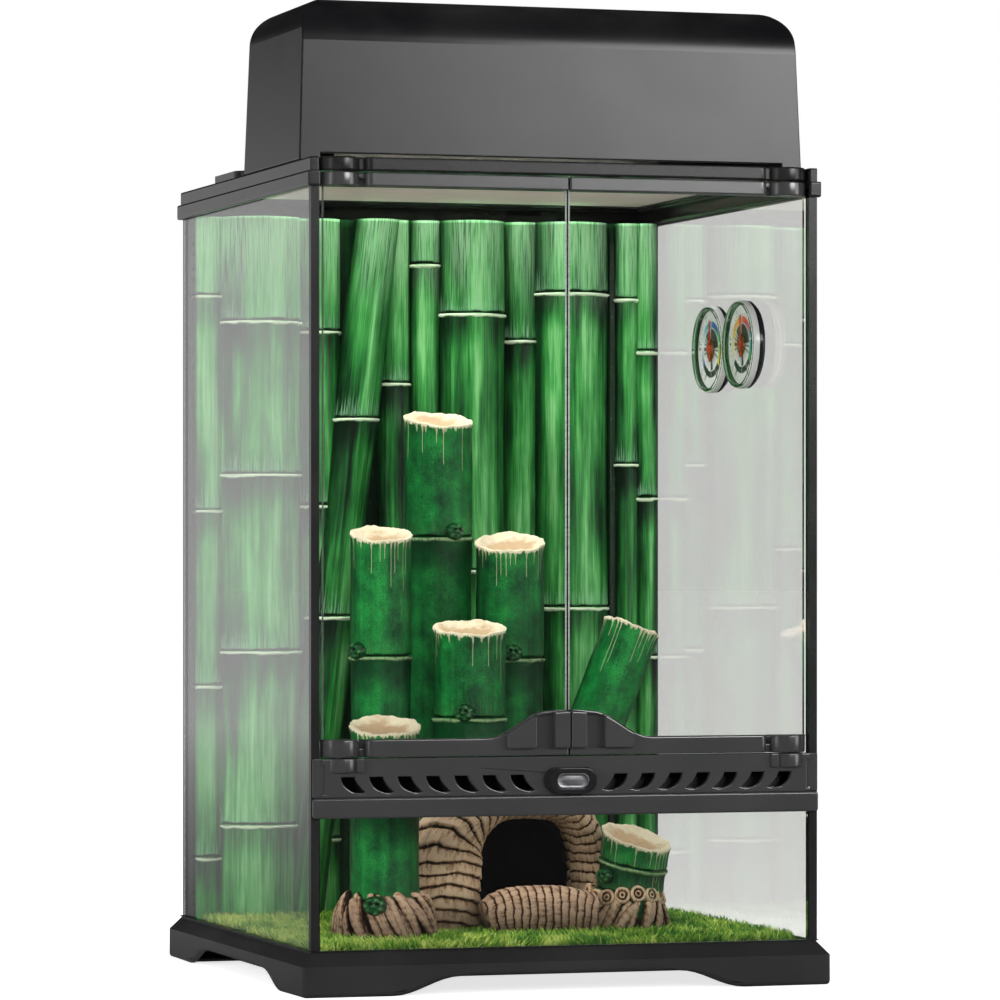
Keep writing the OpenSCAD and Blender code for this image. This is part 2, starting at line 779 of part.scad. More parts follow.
// The root hide: a domed block on three feet with a cave cut into its front
module root_hide() {
    left_leg = [-37, -27];
    right_leg = [54, 0];
    back = [-8, -14];
    color(root_brown) difference() {
        hull() {
            translate([left_leg[0], left_leg[1], decor_z]) cylinder(h = 4, r = 23, $fn = 32);
            translate([left_leg[0], left_leg[1], roof_z - 12]) cylinder(h = 4, r = 19, $fn = 32);
            translate([right_leg[0], right_leg[1], decor_z]) cylinder(h = roof_z - decor_z, r = 19, $fn = 32);
            translate([back[0], back[1], decor_z]) cylinder(h = roof_z - decor_z, r = 21, $fn = 32);
        }
        hull() {
            translate([-12, -16, decor_z + 2]) cylinder(h = 58, r = 15, $fn = 24);
            translate([36, 0, decor_z + 2]) cylinder(h = 58, r = 12, $fn = 24);
            translate([12, -8, decor_z + 2]) cylinder(h = 64, r = 10, $fn = 24);
        }
        along_y(-60, -8) translate([0, decor_z + 2]) hull() {
            translate([-12, 0]) square([54, 30]);
            translate([14, 40]) circle(r = 21, $fn = 32);
        }
    }
}

// Ribbed length of rhizome lying in front of the cave
module rhizome_log() {
    ribs = 11;
    length = 64;
    r = 14;
    pitch = length / ribs;
    profile = [for (i = [0:ribs * 4]) [r - 0.5 + 1.1 * sin(i * 90 + 45), length * i / (ribs * 4)]];
    color(root_brown) translate([-22, -60, decor_z + 14.7]) rotate([0, 90, 0]) rotate_extrude($fn = 48)
        polygon(concat([[0, 0]], profile, [[0, length]]));
}

// A ring of rounded root stubs round a stump's foot
module root_collar(r, count, stub) {
    h = 29;
    intersection() {
        translate([0, 0, decor_z]) linear_extrude(h) {
            circle(r = r - stub);
            for (i = [0:count - 1]) rotate(i * 360 / count) translate([r - stub, 0]) circle(r = stub, $fn = 24);
        }
        rotate_extrude() polygon([[0, decor_z - 1], [r - 1.2, decor_z - 1], [r + 0.3, decor_z + 3],
            [r + 0.3, decor_z + h - 7], [r - 1, decor_z + h - 2.5], [r - stub, decor_z + h - 0.4],
            [r - stub - 1, decor_z + h + 1], [0, decor_z + h + 1]]);
    }
}

module front_left_stump() {
    color(cane_green) translate([-80.3, -64, 0]) {
        stump(decor_z, 143, 20, [97], 20);
        root_collar(26.3, 16, 4.6);
    }
}

module front_right_stump() {
    color(cane_green) translate([66, -44, 0]) {
        translate([0, 0, decor_z + 4]) rotate([4, 7, 0]) stump(0, 52, 20, [20, 36], 25);
        root_collar(23, 16, 4);
    }
}

// Places that the decor stands on: each is x, y and a radius to keep clear of
footprints = [[-80.3, -64, 29], [66, -44, 26], [-37, -27, 26], [54, 0, 22], [-8, -14, 24], [-11.5, 62, 23],
    [-60.6, 12, 21], [23.6, 36, 23], [-12, -60, 17], [8, -60, 17], [30, -60, 17], [20, -12, 26], [8, -30, 13],
    [36, 6, 15]];

function grass_back(x) = x < -127 ? 110 : x > 95 ? 88 : 91.5;

function is_clear(p) = p[1] < grass_back(p[0])
    && min([for (f = footprints) norm([p[0] - f[0], p[1] - f[1]]) - f[2]]) > 0;

function noise(i, k) = let (v = sin(i * 127.1 + k * 311.7) * 43758.5453) v - floor(v);

// One blade of grass: a thin three-sided spike that leans
module blade(p, lean, height, turn) {
    root = 1.5;
    tip = 0.5;
    function ring(c, r, z) = [for (k = [0:2]) [c[0] + r * cos(turn + 120 * k), c[1] + r * sin(turn + 120 * k), z]];
    polyhedron(
        points = concat(ring(p, root, mat_top - 0.6), ring(p + lean, tip, mat_top + height)),
        faces = [[0, 1, 2], [5, 4, 3], [0, 3, 4], [0, 4, 1], [1, 4, 5], [1, 5, 2], [2, 5, 3], [2, 3, 0]]);
}

module grass_mat() {
    half = inner_half - 1;
    pitch = 10.4;
    n = floor((2 * half - 6) / pitch);
    step = (2 * half - 6) / n;
    color(grass_green) {
        box([-half, -half, ledge_top + glass_t + 0.1], [half, half, mat_top]);
        for (i = [0:n], j = [0:n]) {
            k = i * 31 + j;
            p = [-half + 3 + step * i, -half + 3 + step * j] + 2 * [noise(k, 1) - 0.5, noise(k, 2) - 0.5];
            if (is_clear(p))
                blade(p, 3 * [noise(k, 3) - 0.5, noise(k, 4) - 0.5], 6.5 + 2.4 * noise(k, 5), 360 * noise(k, 6));
        }
    }
}

// A gauge's own frame: its axis is Z, its back at 0, and its front away from the wall
module on_wall(place) {
    translate([inner_half - 0.6, place[0], place[1]]) rotate([0, -90, 0]) children();
}

module gauge_case(place) {
    color("#161616") on_wall(place) rotate_extrude() polygon([[0, 0], [gauge_r - 2, 0], [gauge_r, 2],
        [gauge_r, gauge_mouth - 0.8], [gauge_r - 0.8, gauge_mouth], [gauge_r - 2, gauge_mouth],
        [gauge_r - 2, 4.6], [0, 4.6]]);
}

module gauge_face(place) {
    color("#f2efe6") on_wall(place) {
        translate([0, 0, 4.7]) cylinder(h = 0.7, r = gauge_r - 2.4);
        translate([0, 0, 5.3]) cylinder(h = 2, r = 0.9);
    }
}

module gauge_pointer(place) {
    color("#b3261e") on_wall(place) difference() {
        union() {
            translate([0, 0, 5.9]) cylinder(h = 1.2, r = 2.4);
            translate([0, 0, 6.1]) linear_extrude(0.6)
                polygon([[-7, -0.9], [16.5, -0.35], [16.5, 0.35], [-7, 0.9]]);
        }
        translate([0, 0, 5]) cylinder(h = 4, r = 0.95);
    }
}

// Clear lens: a domed cup that stands on the rim of the case
module gauge_lens(place) {
    r = gauge_r - 0.5;
    color(glass_tint) on_wall(place) rotate_extrude() difference() {
        intersection() {
            translate([0, gauge_mouth + 0.05]) square([r, 8]);
            translate([0, gauge_depth - 80]) circle(r = 80, $fn = 160);
        }
        intersection() {
            translate([-1, gauge_mouth - 1]) square([r - 0.4, 8]);
            translate([0, gauge_depth - 81.3]) circle(r = 80, $fn = 160);
        }
    }
}

module gauge_pads() {
    color("#dcdcd6") for (place = [near_gauge, far_gauge])
        translate([inner_half - 0.59, place[0], place[1]]) rotate([0, 90, 0]) cylinder(h = 0.58, r = 12);
}

base_frame();
floor_glass();
side_glass(-1);  // left_glass
side_glass(1);  // right_glass
rear_glass();
lower_front_glass();
corner_strip(-1);  // left_corner_strip
corner_strip(1);  // right_corner_strip
rear_seals();
rim_frame();
vent_bar();
glass_channel();
vent_mesh();
lock_knob();
lock_shaft();
lock_cam();
door_glass(-1);  // left_door_glass
door_top_rail(-1);  // left_door_top_rail
door_handle(-1);  // left_door_handle
hinge_pins(-1);  // left_hinge_pins
door_glass(1);  // right_door_glass
door_top_rail(1);  // right_door_top_rail
door_handle(1);  // right_door_handle
hinge_pins(1);  // right_hinge_pins
screen_frame();
screen_mesh();
screen_catch(-1);  // left_screen_catch
screen_catch(1);  // right_screen_catch
inlet_cover(-1);  // left_inlet_cover
inlet_cover(1);  // right_inlet_cover
hood_shell();
reflector();
reflector_screws();
lamp_socket(-1);  // left_lamp_socket
lamp_socket(1);  // right_lamp_socket
lamp(-1);  // left_lamp
lamp(1);  // right_lamp
switch_frame();
switch_rocker();
cable_gland();
background_panel();
tall_stump();
left_stump();
right_stump();
middle_stump();
leaning_stump();
root_hide();
rhizome_log();
front_left_stump();
front_right_stump();
grass_mat();
gauge_case(near_gauge);  // near_gauge_case
gauge_face(near_gauge);  // near_gauge_face
gauge_pointer(near_gauge);  // near_gauge_pointer
gauge_lens(near_gauge);  // near_gauge_lens
gauge_case(far_gauge);  // far_gauge_case
gauge_face(far_gauge);  // far_gauge_face
gauge_pointer(far_gauge);  // far_gauge_pointer
gauge_lens(far_gauge);  // far_gauge_lens
gauge_pads();
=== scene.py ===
# %% [markdown]
# # A glass terrarium with a light hood
#
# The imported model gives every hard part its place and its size: base frame, panes, rim, doors, ventilation
# bar, screen and hood. This notebook keeps those parts and gives them their finishes. The soft-looking and
# carved things in the tank, such as the bamboo relief, the cane stumps, the root hide and the grass, are
# surfaces worked out with numpy, because their charm is in ribs, knots and brush strokes that a plain solid
# doesn't have.

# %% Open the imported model
import math

import bmesh
import bpy
import numpy as np
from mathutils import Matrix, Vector


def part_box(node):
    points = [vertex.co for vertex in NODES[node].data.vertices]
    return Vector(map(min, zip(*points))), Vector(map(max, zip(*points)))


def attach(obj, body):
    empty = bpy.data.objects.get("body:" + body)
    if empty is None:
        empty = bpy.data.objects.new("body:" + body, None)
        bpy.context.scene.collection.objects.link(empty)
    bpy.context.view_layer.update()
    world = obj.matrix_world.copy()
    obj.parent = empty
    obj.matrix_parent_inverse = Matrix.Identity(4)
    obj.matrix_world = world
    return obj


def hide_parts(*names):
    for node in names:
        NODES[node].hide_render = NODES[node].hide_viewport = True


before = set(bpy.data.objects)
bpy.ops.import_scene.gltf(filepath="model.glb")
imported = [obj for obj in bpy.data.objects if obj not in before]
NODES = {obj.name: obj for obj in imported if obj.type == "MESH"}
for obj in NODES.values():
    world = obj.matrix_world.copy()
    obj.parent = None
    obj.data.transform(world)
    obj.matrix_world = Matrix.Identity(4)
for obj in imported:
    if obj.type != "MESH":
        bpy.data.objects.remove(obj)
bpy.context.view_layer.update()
MM = 0.001
print("nodes in the model:", len(NODES))

# %% [markdown]
# ## Camera
#
# The photograph was taken from the left, level with the middle of the tank, through a long lens. A level
# camera keeps the upright edges parallel, and a small upward shift of the lens brings the hood into the
# picture, as an architectural photographer would do it.

# %% Camera
CAMERA_PLACE = (-856.9, -2743.3, 234.9)
CAMERA_YAW = 17.476
CAMERA_LENS = 182.22
CAMERA_SHIFT_UP = 0.0562

lens = bpy.data.cameras.new("photo_lens")
lens.lens = CAMERA_LENS
lens.sensor_width = 36.0
lens.shift_y = CAMERA_SHIFT_UP
lens.clip_start = 0.05
lens.clip_end = 60.0
camera = bpy.data.objects.new("photo_camera", lens)
camera.location = [c * MM for c in CAMERA_PLACE]
camera.rotation_euler = (math.pi / 2, 0.0, -math.radians(CAMERA_YAW))
bpy.context.scene.collection.objects.link(camera)
bpy.context.scene.camera = camera
bpy.context.scene.view_settings.view_transform = "Standard"
print("camera", [round(c, 3) for c in camera.location])

# %% [markdown]
# ## Short words for shader nodes
#
# A material is a small graph. These helpers add one node at a time and hand back its output, so that a
# finish reads like a formula: mix this colour into that one where the mask says so.


# %% Helpers for values
def wire(tree, value, socket):
    """Join an output to a socket, or write a plain value into it."""
    if isinstance(value, bpy.types.NodeSocket):
        tree.links.new(value, socket)
    elif value is not None:
        socket.default_value = value


def node(tree, kind, inputs=None, **settings):
    """Add one shader node, set its settings, and fill its inputs by name or number."""
    made = tree.nodes.new("ShaderNode" + kind)
    for key, value in settings.items():
        setattr(made, key, value)
    for key, value in (inputs or {}).items():
        wire(tree, value, made.inputs[key])
    return made


def calc(tree, operation, a, b=None, clamp=False):
    """One sum, product or comparison of two values."""
    made = node(tree, "Math", {0: a, 1: b}, operation=operation, use_clamp=clamp)
    return made.outputs[0]


def times(tree, a, b):
    """Product of two values."""
    return calc(tree, "MULTIPLY", a, b)


def total(tree, value, *more):
    """Sum of two or more values, added from left to right."""
    for part in more:
        value = calc(tree, "ADD", value, part)
    return value


def axis_of(tree, vector, number):
    """One of the three parts of a vector: 0 for X, 1 for Y, 2 for Z."""
    return node(tree, "SeparateXYZ", {0: vector}).outputs[number]


def remap(tree, value, low, high, out_low=0.0, out_high=1.0, smooth=True):
    """Carry a value from the range low to high into out_low to out_high, held at both ends."""
    made = node(tree, "MapRange", {0: value, 1: low, 2: high, 3: out_low, 4: out_high},
                interpolation_type="SMOOTHSTEP" if smooth else "LINEAR")
    return made.outputs[0]


# %% [markdown]
# ### Colours and patterns
#
# Paint is laid in coats: each is a colour with a mask that says where it shows. Masks come from noise that is
# read at the point's place on the object. A picture wrapped round the surface would need a map for every
# piece and would show its own pixels close up; noise has neither problem.


# %% Helpers for colours and patterns
def blend(tree, mask, first, second, mode="MIX"):
    """Colour that is first where mask is 0 and second, or both blended, where it is 1."""
    made = node(tree, "Mix", {0: mask, 6: first, 7: second}, data_type="RGBA", blend_type=mode)
    return made.outputs[2]


def coats(tree, colour, *layers):
    """Lay paint over paint: each layer is a mask and the colour that shows where the mask is 1."""
    for mask, paint in layers:
        colour = blend(tree, mask, colour, (*paint, 1.0))
    return colour


def shades(tree, value, stops):
    """Colour ramp: stops are (place, (red, green, blue))."""
    made = node(tree, "ValToRGB", {0: value})
    ramp = made.color_ramp
    while len(ramp.elements) < len(stops):
        ramp.elements.new(0.5)
    for element, (place, colour) in zip(ramp.elements, stops):
        element.position = place
        element.color = (*colour, 1.0)
    return made.outputs[0]


def noise(tree, vector, scale, detail=3.0, roughness=0.5):
    """Cloudy noise read at a vector; about 1/scale metres from one cloud to the next."""
    made = node(tree, "TexNoise", {"Vector": vector, "Scale": scale, "Detail": detail, "Roughness": roughness})
    return made.outputs["Fac"]


def stretched(tree, vector, scale):
    """The same coordinates, stretched or squeezed along each axis."""
    return node(tree, "Mapping", {"Vector": vector, "Scale": scale}).outputs[0]


def object_place(tree):
    """The place of a point on its object, in metres; every piece sits at the origin, so all share one frame."""
    return node(tree, "TexCoord").outputs["Object"]


def attribute(tree, name, output="Vector"):
    """A value that the surface carries at each of its points."""
    return node(tree, "Attribute", attribute_name=name).outputs[output]


def bump(tree, height, distance, strength=1.0):
    """A normal bent by a height between 0 and 1, where 1 stands for the distance in metres."""
    return node(tree, "Bump", {"Height": height, "Distance": distance, "Strength": strength}).outputs[0]


# %% [markdown]
# ### Materials and node groups
#
# Every finish starts from the Principled shader. Marks that several materials share go into a node group: it
# is built once and placed with other values each time, so a change reaches all of them.


# %% Helpers for materials
def finish(name, colour=(0.5, 0.5, 0.5), roughness=0.5, metallic=0.0, **sockets):
    """Start a material: returns it with its tree and its Principled shader."""
    made = bpy.data.materials.new(name)
    made.use_nodes = True
    tree = made.node_tree
    shader = tree.nodes["Principled BSDF"]
    wire(tree, (*colour, 1.0), shader.inputs["Base Color"])
    wire(tree, roughness, shader.inputs["Roughness"])
    wire(tree, metallic, shader.inputs["Metallic"])
    for key, value in sockets.items():
        wire(tree, value, shader.inputs[key.replace("_", " ")])
    return made, tree, shader


def shader_group(name, inputs, outputs):
    """Start a node group from {input: value} and {output: kind}; returns its tree and its two ends."""
    tree = bpy.data.node_groups.new(name, "ShaderNodeTree")
    for key, value in inputs.items():
        kind = "NodeSocketFloat" if isinstance(value, float) else "NodeSocketColor"
        tree.interface.new_socket(key, in_out="INPUT", socket_type=kind).default_value = value
    for key, kind in outputs.items():
        tree.interface.new_socket(key, in_out="OUTPUT", socket_type="NodeSocket" + kind)
    return tree, tree.nodes.new("NodeGroupInput"), tree.nodes.new("NodeGroupOutput")


def place_group(tree, group, **values):
    """Put a node group into a material with its own values, and return its outputs."""
    made = tree.nodes.new("ShaderNodeGroup")
    made.node_tree = group
    for key, value in values.items():
        made.inputs[key].default_value = value
    return made.outputs


# %% [markdown]
# ## Moulded plastic
#
# Every frame, bar and cover is injection-moulded. Close up, such plastic has a fine spark-eroded grain, is a
# little uneven in gloss, and gathers pale dust on its upper faces. One node group makes those three, and each
# plastic sets how much of them it has.


# %% Node group: moulded grain
def make_grain_group():
    """Outputs a colour with dust and mottling, a roughness, and the height of the grain.

    Dust is the product of how far a face looks up and a cloud; it dulls the gloss. Flat tops are rougher too.
    """
    tree, given, result = shader_group(
        "moulded_grain", {"Colour": (0.02, 0.02, 0.02, 1.0), "Dust": 0.1, "Gloss": 0.4},
        {"Colour": "Color", "Roughness": "Float", "Height": "Float"})
    place = object_place(tree)
    cloud = noise(tree, place, 22.0, 4.0, 0.6)
    grain = noise(tree, place, 1900.0, 2.0, 0.5)
    up = axis_of(tree, node(tree, "NewGeometry").outputs["Normal"], 2)
    dust = times(tree, remap(tree, up, 0.5, 1.0), remap(tree, cloud, 0.35, 0.75))
    dust = times(tree, dust, given.outputs["Dust"])
    mottling = remap(tree, cloud, 0.3, 0.7, 0.0, 0.10)
    colour = coats(tree, given.outputs["Colour"], (mottling, (0.06, 0.06, 0.06)), (dust, (0.42, 0.40, 0.37)))
    rough = total(tree, given.outputs["Gloss"], remap(tree, cloud, 0.3, 0.7, -0.010, 0.015),
                  remap(tree, up, 0.85, 1.0, 0.0, 0.22), times(tree, dust, 0.5))
    for name, value in (("Colour", colour), ("Roughness", rough), ("Height", grain)):
        wire(tree, value, result.inputs[name])
    return tree


GRAIN = make_grain_group()
GRAIN_DEPTH = 0.00002


def plastic(name, colour, gloss, dust=0.0, shine=0.5):
    """A moulded plastic: gloss is its roughness, dust how much lies on it, and shine how much it mirrors."""
    made, tree, shader = finish(name, Specular_IOR_Level=shine)
    grain = place_group(tree, GRAIN, Colour=(*colour, 1.0), Dust=dust, Gloss=gloss)
    wire(tree, grain["Colour"], shader.inputs["Base Color"])
    wire(tree, grain["Roughness"], shader.inputs["Roughness"])
    wire(tree, bump(tree, grain["Height"], GRAIN_DEPTH), shader.inputs["Normal"])
    return made


BLACK = plastic("black_moulding", (0.009, 0.0088, 0.0085), 0.25, dust=0.02, shine=0.45)
BAR = plastic("bar_moulding", (0.032, 0.032, 0.0325), 0.21, dust=0.04, shine=1.0)
BASE = plastic("base_moulding", (0.016, 0.016, 0.0165), 0.22, dust=0.03, shine=0.9)
HOOD = plastic("hood_moulding", (0.005, 0.005, 0.006), 0.29, dust=0.02, shine=0.55)
GLOSSY_BLACK = plastic("gloss_black", (0.008, 0.008, 0.009), 0.16, dust=0.02)
SOCKET_WHITE = plastic("socket_white", (0.74, 0.72, 0.66), 0.30)
SWITCH_RED = plastic("switch_red", (0.52, 0.03, 0.02), 0.25)
SEAL = plastic("silicone_seal", (0.010, 0.010, 0.010), 0.55)
SILVER = plastic("silver_paint", (0.58, 0.58, 0.57), 0.20, shine=0.8)
WIRE = plastic("screen_wire", (0.60, 0.545, 0.475), 0.5)
print("plastics and paints:", len(bpy.data.materials))

# %% [markdown]
# ## Glass
#
# The panes are real 4 mm slabs, so a plain glass shader gives the pale veil of reflections on the wall that is
# seen at a flat angle, and the green of the cut edges. Light that falls through a pane onto the decor is
# another matter: a renderer would need very many samples for it. For shadow and diffuse rays the glass is
# therefore swapped for a clear shader, chosen by the Light Path node.


# %% Glass finishes
def glass(name, tint, clear, ior):
    """Glass for what is seen, and a clear tint for the light that passes through it."""
    made, tree, shader = finish(name, tint, 0.0, IOR=ior, Transmission_Weight=1.0)
    path = node(tree, "LightPath")
    soft_ray = calc(tree, "MAXIMUM", path.outputs["Is Shadow Ray"], path.outputs["Is Diffuse Ray"])
    through = node(tree, "BsdfTransparent", {"Color": (*clear, 1.0)})
    mix = node(tree, "MixShader", {0: soft_ray, 1: shader.outputs[0], 2: through.outputs[0]})
    wire(tree, mix.outputs[0], tree.nodes["Material Output"].inputs["Surface"])
    return made


PANE = glass("tank_glass", (0.880, 0.880, 0.868), (0.93, 0.94, 0.93), ior=1.42)
LENS = glass("lens_glass", (0.98, 0.985, 0.99), (0.97, 0.97, 0.97), ior=1.20)
print("glass:", PANE.name, LENS.name)

# %% [markdown]
# ## Metal and lamp finishes
#
# Pins, cam, screws and reflector are bare metal, drawn or rolled, so their scratches run one way. Noise that
# is squeezed along one axis gives such lines, and they change the roughness as well as the bump, which is what
# makes metal sparkle. The lamps are opal glass, which a coat over a nearly white base shows well enough.


# %% Metal finishes
SCRATCH_DEPTH = 0.00001


def metal(name, colour, roughness, streaks=(1.0, 1.0, 1.0)):
    """Metal with fine scratches, longer along the axis whose streak number is small."""
    made, tree, shader = finish(name, colour, roughness, 1.0)
    lines = noise(tree, stretched(tree, object_place(tree), streaks), 1400.0, 3.0)
    wire(tree, remap(tree, lines, 0.3, 0.7, roughness * 0.8, roughness * 1.3), shader.inputs["Roughness"])
    wire(tree, bump(tree, lines, SCRATCH_DEPTH), shader.inputs["Normal"])
    return made


STEEL = metal("steel", (0.62, 0.60, 0.57), 0.28, (0.05, 1.0, 1.0))
REFLECTOR = metal("reflector_sheet", (0.86, 0.86, 0.85), 0.16, (0.03, 1.0, 1.0))
BRASS = metal("brass", (0.86, 0.52, 0.22), 0.22)
DARK_WIRE = metal("dark_wire", (0.035, 0.035, 0.036), 0.45)
BADGE = metal("badge_plate", (0.30, 0.30, 0.31), 0.36, (0.04, 1.0, 1.0))


def lamp_finish():
    """Opal glass: a clear coat over a white that is a little uneven."""
    made, tree, shader = finish("lamp_white", (0.86, 0.85, 0.80), 0.22, Coat_Weight=0.5)
    cloud = noise(tree, object_place(tree), 60.0)
    colour = blend(tree, cloud, (0.88, 0.87, 0.83, 1), (0.80, 0.79, 0.74, 1))
    wire(tree, colour, shader.inputs["Base Color"])
    return made


LAMP = lamp_finish()
print("all plain finishes:", len(bpy.data.materials))

# %% [markdown]
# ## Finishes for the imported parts
#
# Each part of the model gets its material by name. The table below is the whole choice: which material, then
# the parts that have it.

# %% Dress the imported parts
FINISH_OF = {
    BLACK: ["rim_frame", "left_corner_strip", "right_corner_strip", "screen_frame", "left_screen_catch",
            "right_screen_catch", "left_inlet_cover", "right_inlet_cover", "switch_frame", "cable_gland"],
    BASE: ["base_frame"],
    BAR: ["vent_bar", "glass_channel", "left_door_top_rail", "right_door_top_rail", "left_door_handle",
          "right_door_handle"],
    HOOD: ["hood_shell"],
    GLOSSY_BLACK: ["lock_knob", "near_gauge_case", "far_gauge_case"],
    SEAL: ["rear_seals"],
    PANE: ["floor_glass", "left_glass", "right_glass", "rear_glass", "lower_front_glass", "left_door_glass",
           "right_door_glass"],
    LENS: ["near_gauge_lens", "far_gauge_lens"],
    DARK_WIRE: ["vent_mesh"],
    STEEL: ["lock_shaft", "lock_cam", "left_hinge_pins", "right_hinge_pins", "reflector_screws"],
    REFLECTOR: ["reflector"],
    SOCKET_WHITE: ["left_lamp_socket", "right_lamp_socket", "gauge_pads"],
    LAMP: ["left_lamp", "right_lamp"],
    SWITCH_RED: ["switch_rocker", "near_gauge_pointer", "far_gauge_pointer"],
}


def dress(name, material):
    """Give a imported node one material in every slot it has."""
    mesh = NODES[name].data
    if not mesh.materials:
        mesh.materials.append(material)
    for index in range(len(mesh.materials)):
        mesh.materials[index] = material


for material, names in FINISH_OF.items():
    for name in names:
        dress(name, material)
print("dressed", sum(len(names) for names in FINISH_OF.values()), "packed parts")

# %% [markdown]
# ### Rounded edges
#
# A moulded edge always catches a thin line of light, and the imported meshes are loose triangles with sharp
# edges. Fillets in the solids would cost thousands of small faces in every check. Instead, a small geometry
# node group joins the triangles and finds the edges that stick out, and a Bevel modifier rounds those.

# %% Round the outer edges
WELD = 0.000002
SHARP_ANGLE = math.radians(40)


def make_convex_group():
    """Geometry nodes that join loose triangles and give weight 1 to edges that stick out by a sharp angle.

    Inner corners get weight 0: a fillet there would fill the clearance between a door's rail and the rim.
    """
    tree = bpy.data.node_groups.new("convex_edges", "GeometryNodeTree")
    tree.interface.new_socket("Geometry", in_out="INPUT", socket_type="NodeSocketGeometry")
    tree.interface.new_socket("Geometry", in_out="OUTPUT", socket_type="NodeSocketGeometry")
    given = tree.nodes.new("NodeGroupInput")
    result = tree.nodes.new("NodeGroupOutput")
    merged = tree.nodes.new("GeometryNodeMergeByDistance")
    merged.inputs["Distance"].default_value = WELD
    angle = tree.nodes.new("GeometryNodeInputMeshEdgeAngle")
    sharp = tree.nodes.new("ShaderNodeMath")
    sharp.operation = "GREATER_THAN"
    sharp.inputs[1].default_value = SHARP_ANGLE
    store = tree.nodes.new("GeometryNodeStoreNamedAttribute")
    store.domain, store.data_type = "EDGE", "FLOAT"
    store.inputs["Name"].default_value = "bevel_weight_edge"
    tree.links.new(given.outputs[0], merged.inputs["Geometry"])
    tree.links.new(merged.outputs[0], store.inputs["Geometry"])
    tree.links.new(angle.outputs["Signed Angle"], sharp.inputs[0])
    tree.links.new(sharp.outputs[0], store.inputs["Value"])
    tree.links.new(store.outputs[0], result.inputs[0])
    return tree


CONVEX = make_convex_group()


def soften(name, width):
    """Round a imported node's outer edges by a width in millimetres, without touching its mesh.

    The bevel isn't clamped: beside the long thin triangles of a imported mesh, a clamp would leave it no width.
    """
    piece = NODES[name]
    piece.modifiers.new("outer_edges", "NODES").node_group = CONVEX
    edge = piece.modifiers.new("moulded_edge", "BEVEL")
    edge.width = width * MM
    edge.segments = 4
    edge.limit_method = "WEIGHT"
    edge.use_clamp_overlap = False


EDGE_WIDTH = {"base_frame": 2.2, "rim_frame": 1.1, "vent_bar": 0.6, "glass_channel": 1.3, "lock_knob": 0.4,
              "left_door_top_rail": 0.9, "right_door_top_rail": 0.9, "left_door_handle": 0.8,
              "right_door_handle": 0.8, "hood_shell": 0.8, "screen_frame": 0.6}
for name, width in EDGE_WIDTH.items():
    soften(name, width)
print("rounded edges on", len(EDGE_WIDTH), "parts")

# %% [markdown]
# ## Surfaces from grids
#
# Each new piece is one or more grids of points. Row by row a grid climbs or runs along the piece, and column
# by column it goes round it. The class below collects such grids, joins neighbours into quads, and carries
# values at each point, such as how far it is from a knot, which the materials read.


# %% A collector of grids
POINT_KINDS = {1: ("FLOAT", "value"), 3: ("FLOAT_VECTOR", "vector"), 4: ("FLOAT_COLOR", "color")}
SEAM = 0.00002


class Surface:
    """Grids of points in millimetres, joined into quads that face outwards when columns turn to the left."""

    def __init__(self):
        """Start empty: lists of points and quads, values by name, and the number of points so far."""
        self.points, self.quads, self.values, self.count = [], [], {}, 0

    def add(self, points, wrap=False, flip=False, **values):
        """Add a (rows, columns, 3) grid; wrap joins the last column to the first."""
        rows, columns = points.shape[:2]
        index = self.count + np.arange(rows * columns).reshape(rows, columns)
        if wrap:
            index = np.concatenate([index, index[:, :1]], axis=1)
        corners = [index[:-1, :-1], index[:-1, 1:], index[1:, 1:], index[1:, :-1]]
        quads = np.stack(corners[::-1] if flip else corners, axis=-1).reshape(-1, 4)
        self.points.append(points.reshape(-1, 3))
        self.quads.append(quads)
        for name, value in values.items():
            width = 1 if value.ndim == 2 else value.shape[2]
            self.values.setdefault(name, []).append(value.reshape(-1, width))
        self.count += rows * columns

    def piece(self, name, material, body="root", slot=None, replaces=(), merge=SEAM, smooth=True):
        """Make the mesh and its object, tell the frame what it rides on, and return it."""
        mesh = bpy.data.meshes.new(name)
        points = np.concatenate(self.points) * MM
        quads = np.concatenate(self.quads)
        mesh.vertices.add(len(points))
        mesh.vertices.foreach_set("co", points.astype(np.float32).ravel())
        mesh.loops.add(quads.size)
        mesh.loops.foreach_set("vertex_index", quads.astype(np.int32).ravel())
        mesh.polygons.add(len(quads))
        mesh.polygons.foreach_set("loop_start", np.arange(0, quads.size, 4, dtype=np.int32))
        mesh.polygons.foreach_set("use_smooth", np.full(len(quads), smooth))
        for key, parts in self.values.items():
            data = np.concatenate(parts).astype(np.float32)
            kind, field = POINT_KINDS[data.shape[1]]
            mesh.attributes.new(key, kind, "POINT").data.foreach_set(field, data.ravel())
        mesh.update(calc_edges=True)
        mesh.validate()
        if merge:
            close_seams(mesh, merge)
        mesh.materials.append(material)
        return place_piece(name, mesh, body, replaces)


def close_seams(mesh, distance):
    """Merge points that lie on each other, so that poles and seams are closed."""
    work = bmesh.new()
    work.from_mesh(mesh)
    bmesh.ops.remove_doubles(work, verts=work.verts, dist=distance)
    work.to_mesh(mesh)
    work.free()


def place_piece(name, mesh, body, replaces=()):
    """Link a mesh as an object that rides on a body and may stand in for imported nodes."""
    made = bpy.data.objects.new(name, mesh)
    bpy.context.scene.collection.objects.link(made)
    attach(made, body)
    if replaces:
        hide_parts(*replaces)
    return made


# %% [markdown]
# ### Rings, tubes and ripples
#
# Most pieces below are a ring of points carried along a path. These formulas give the angles of a ring, the
# length of a path and the rows that close a tube at its ends. Ripple gives the unevenness of cast things; it
# is made of sines and not of random numbers, so every run makes the same shapes.


# %% Small formulas for rings and tubes
def circle(count, start=0.0):
    """Angles in radians of points spread evenly round one full turn."""
    return np.radians(np.linspace(start, start + 360, count + 1)[:-1])


